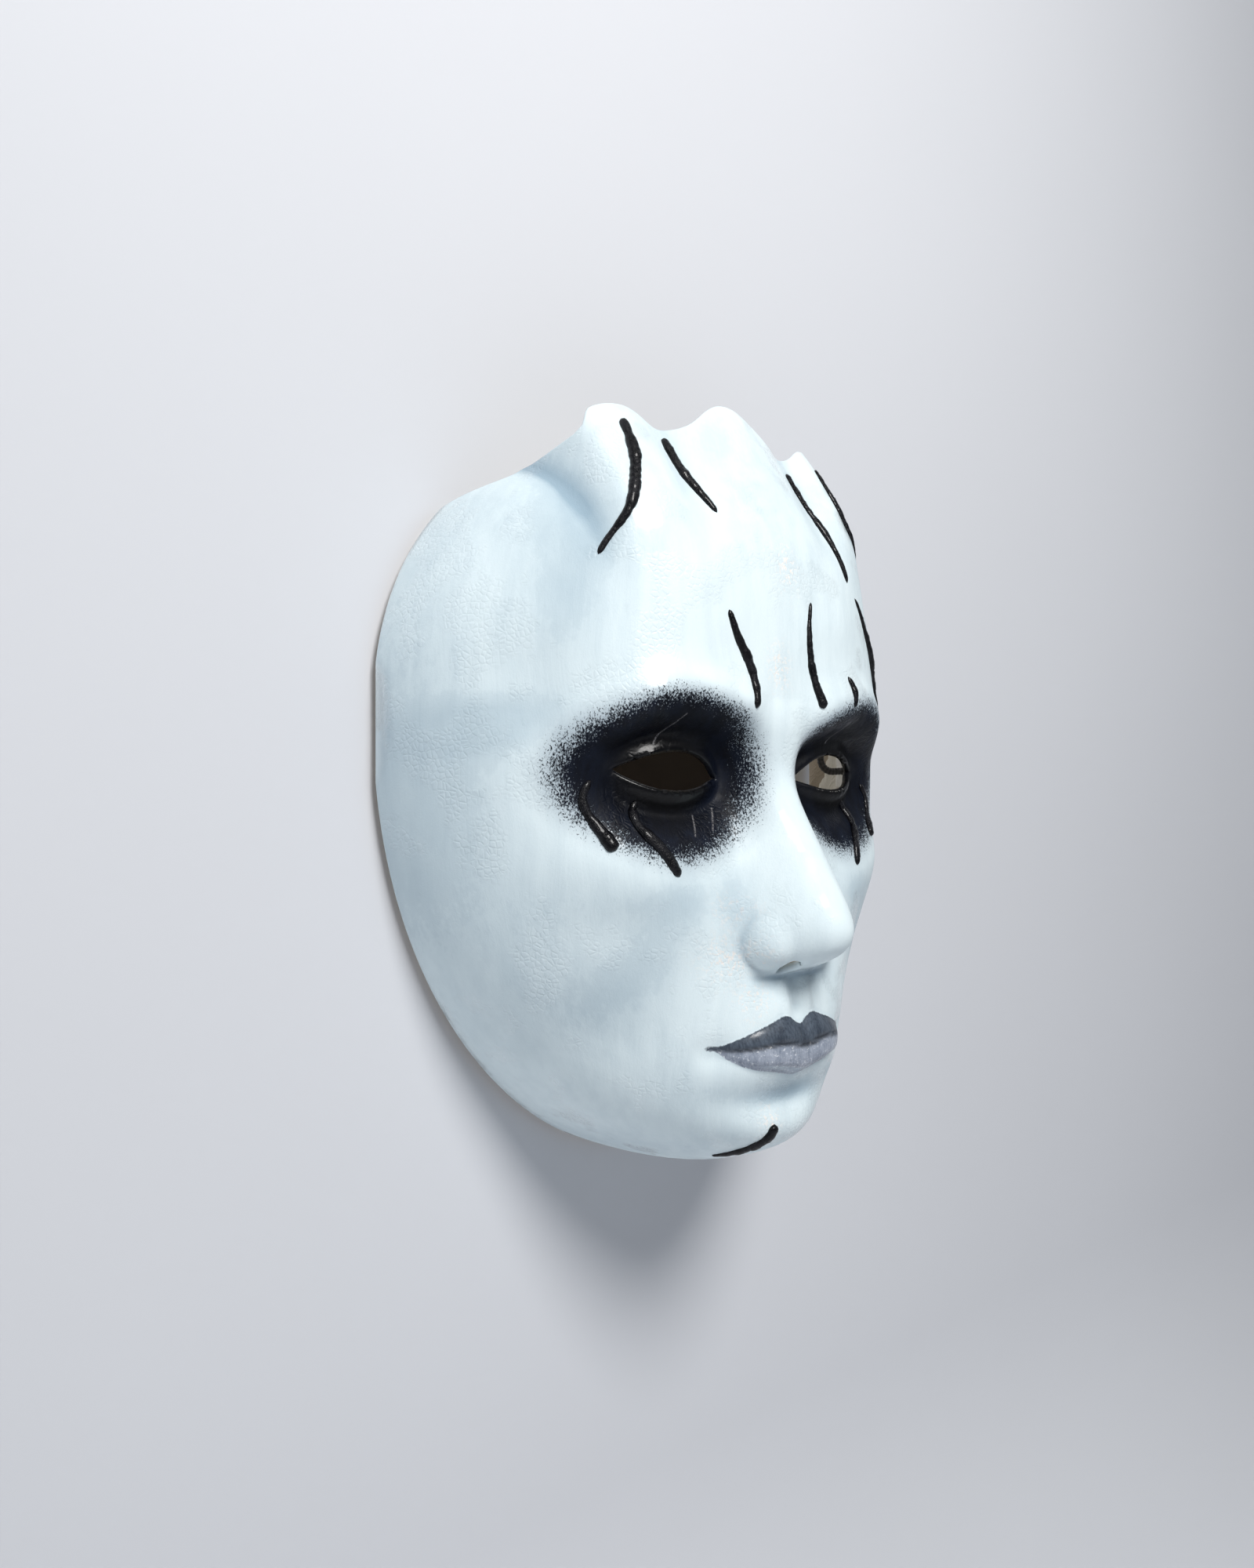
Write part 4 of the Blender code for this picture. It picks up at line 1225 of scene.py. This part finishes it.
def makeStroke(order, name, radius, route):
    x, z, share, length = alongPoints(route, bead["spacing"])
    shake = np.random.default_rng(40 + order)
    rough = np.convolve(shake.normal(0, 1, len(x) + 8), np.ones(5) / 5, "same")[4:-4]
    slow = np.convolve(shake.normal(0, 1, len(x) + 24), np.ones(13) / 13, "same")[12:-12]
    fast, drift, stray = bead["unevenness"]
    x = x + slow * stray * np.sin(np.pi * share)
    taper = np.interp(share, (0, 0.5, 1), strokeEnds[name])
    fromStart, fromEnd = share * length, (1 - share) * length
    taper = taper * np.sqrt(np.clip(fromStart / bead["roundOver"], 0, 1))
    taper = taper * np.sqrt(np.clip(fromEnd / bead["roundOver"], 0, 1))
    half = np.maximum(radius * taper * (1 + fast * rough + drift * slow), 0.04)
    centre = skinPoint(x, z)
    centre[:, 1] = np.minimum(centre[:, 1], relax(centre[:, 1], bead["relax"]))
    normal = skinNormals(x, z)
    for axis in range(3):
        normal[:, axis] = relax(normal[:, axis], bead["relax"])
    normal /= np.linalg.norm(normal, axis=1, keepdims=True)
    run = np.gradient(centre, axis=0)
    run /= np.linalg.norm(run, axis=1, keepdims=True)
    across = np.cross(run, normal)
    rings = []
    sides = bead["sides"]
    for k in range(sides):
        turn = 2 * math.pi * k / sides
        u, v = math.cos(turn), math.sin(turn)
        lift = bead["height"] * half * v * 1.25 if v > 0 else bead["sink"] * half * v
        lumps = np.convolve(shake.normal(0, 1, len(x) + 4), np.ones(3) / 3, "same")[2:-2]
        wobble = 1 + 0.07 * lumps * (v > 0)
        rings.append(centre + across * (half * u)[:, None] + normal * (lift * wobble)[:, None])
    points = np.stack(rings, 1)
    faces = tubeFaces(np.arange(len(x) * sides).reshape(-1, sides))
    mesh = makeMesh(name, points.reshape(-1, 3), faces, None, ("reliefPaint",))
    faceOutward(mesh)
    settle(addToScene(name + "_bead", mesh), "relief_paint", name)


for order, (name, radius, route) in enumerate(strokes):
    makeStroke(order, name, radius, route)
print("mask: relief paint laid")

# tie patches and loops

tie = {
    "patchCentre": (24.0, 9.0),
    "patchSize": (17.0, 23.0),
    "patchThickness": 0.5,
    "patchGrid": (26, 34),
    "patchLift": 0.55,    # above the lining
    "legLift": 0.9,       # where the cord's legs run under the paper
    "legHalf": 1.7,
    "cord": 1.2,
    "halfGap": 4.6,
    "length": 6.0,
    "strands": 8,
    "thread": 0.16,
    "threadTurns": 3,
    "threadPitch": 0.42,
}


def wallPoint(side, forward, height):
    hit, normal = liningTree.ray_cast(Vector((side * 20, -forward, height)), Vector((side, 0, 0)))[:2]
    if normal.x * side > 0:
        normal = -normal
    return np.array(hit), np.array(normal)


def makePatch(side, word):
    countU, countV = tie["patchGrid"]
    points, edge = [], []
    for j in range(countV):
        for i in range(countU):
            u, v = 2 * i / (countU - 1) - 1, 2 * j / (countV - 1) - 1
            pull = 1 - 0.10 * (u * u * v * v)
            ragged = 1 + 0.018 * math.sin(9 * v + side) + 0.012 * math.sin(23 * u + 17 * v)
            forward = tie["patchCentre"][0] + u * pull * ragged * tie["patchSize"][0] / 2
            height = tie["patchCentre"][1] + v * pull * ragged * tie["patchSize"][1] / 2
            hit, normal = wallPoint(side, forward, height)
            # the cord's legs run under the paper and lift it
            leg = sum(math.exp(-((v * tie["patchSize"][1] / 2 - way * tie["halfGap"]) / tie["legHalf"]) ** 2)
                      for way in (-1, 1)) * float(ease(0.95, 0.4, abs(u)))
            rim = max(abs(u), abs(v))
            wrinkle = math.sin(14 * u + 5 * v) * math.sin(11 * v)
            lift = tie["patchLift"] + tie["legLift"] * leg + 0.10 * wrinkle
            lift -= 0.25 * float(ease(0.8, 1, rim))
            points.append(hit + normal * lift)
            edge.append(float(ease(0.90, 1.0, rim)))
    faces = []
    for j in range(countV - 1):
        for i in range(countU - 1):
            a = j * countU + i
            quad = (a, a + 1, a + countU + 1, a + countU)
            faces.append(quad if side > 0 else quad[::-1])
    mesh = makeMesh("tiePatch" + word, np.array(points), faces, {"edge": np.array(edge)}, ("patchPaper",))
    piece = addToScene("tie_patch_paper_" + word, mesh)
    addThickness(piece, tie["patchThickness"], 0.0)
    settle(piece, "patch_paper", "tie_patch_" + word)


def loopRoute(side):
    foot, normal = wallPoint(side, *tie["patchCentre"])
    out = np.array([-side, 0.35, 0.0]) / math.hypot(1, 0.35)
    up = np.array([0, 0, 1.0])
    base = foot + out * 0.6
    gap, reach = tie["halfGap"], tie["length"]
    route = [base + up * gap + out * d for d in np.linspace(0, reach, 9)]
    for i in range(1, 24):
        turn = math.pi * i / 24
        route.append(base + out * (reach + gap * math.sin(turn)) + up * gap * math.cos(turn))
    route += [base - up * gap + out * d for d in np.linspace(reach, 0, 9)]
    route = np.array(route)
    # a soft cord droops a little and isn't quite even
    sag = np.sin(np.linspace(0, math.pi, len(route)))
    route[:, 2] -= 0.5 * sag ** 2
    route[:, 1] += 0.25 * np.sin(np.linspace(0, 5, len(route))) * sag
    return route, out


def makeLoop(side, word):
    route, out = loopRoute(side)
    run = np.concatenate([[0], np.cumsum(np.linalg.norm(np.diff(route, axis=0), axis=1))])
    places = np.linspace(0, run[-1], 130)
    line = np.stack([np.interp(places, run, route[:, k]) for k in range(3)], 1)
    ahead = np.gradient(line, axis=0)
    ahead /= np.linalg.norm(ahead, axis=1, keepdims=True)
    flatWay = np.cross(out, np.array([0, 0, 1.0]))
    flatWay /= np.linalg.norm(flatWay)
    other = np.cross(ahead, flatWay)
    sides, strands = 24, tie["strands"]
    points, strand = [], []
    for i, place in enumerate(places):
        for k in range(sides):
            turn = 2 * math.pi * k / sides
            weave = math.sin(strands / 2 * turn + place * 2.6) * math.sin(strands / 2 * turn - place * 2.6)
            radius = tie["cord"] * (0.96 + 0.12 * weave)
            points.append(line[i] + flatWay * radius * math.cos(turn) + other[i] * radius * math.sin(turn))
            strand.append(0.5 + 0.5 * weave)
    faces = tubeFaces(np.arange(len(points)).reshape(-1, sides))
    mesh = makeMesh("tieLoop" + word, np.array(points), faces, {"strand": np.array(strand)}, ("loopCord",))
    faceOutward(mesh)
    settle(addToScene("tie_loop_cord_" + word, mesh), "loop_cord", "tie_loop_" + word)
    return route, out


def makeStitches(side, word, route, out):
    # turns of thread round each foot of the cord
    curve = bpy.data.curves.new("footStitches" + word, "CURVE")
    curve.dimensions = "3D"
    curve.bevel_depth = tie["thread"] * mm
    curve.bevel_resolution = 2
    curve.use_fill_caps = True
    across = np.cross(out, np.array([0, 0, 1.0]))
    for foot in (route[0], route[-1]):
        for turn in range(tie["threadTurns"]):
            spots = []
            for i in range(17):
                angle = 2 * math.pi * i / 16
                lift = 0.9 + tie["threadPitch"] * turn + 0.22 * math.sin(angle + turn)
                ring = across * math.cos(angle) + np.array([0, 0, 1.0]) * math.sin(angle)
                spots.append(foot + out * lift + ring * (tie["cord"] + 0.10))
            line = curve.splines.new("POLY")
            line.points.add(len(spots) - 1)
            for point, spot in zip(line.points, spots):
                point.co = (*(spot * mm), 1)
    curve.materials.append(finishes["thread"])
    settle(addToScene("foot_stitches_" + word, curve), "loop_cord")


for side, word in ((-1, "right"), (1, "left")):
    makePatch(side, word)
    route, out = makeLoop(side, word)
    makeStitches(side, word, route, out)
print("mask: tie loops fixed")
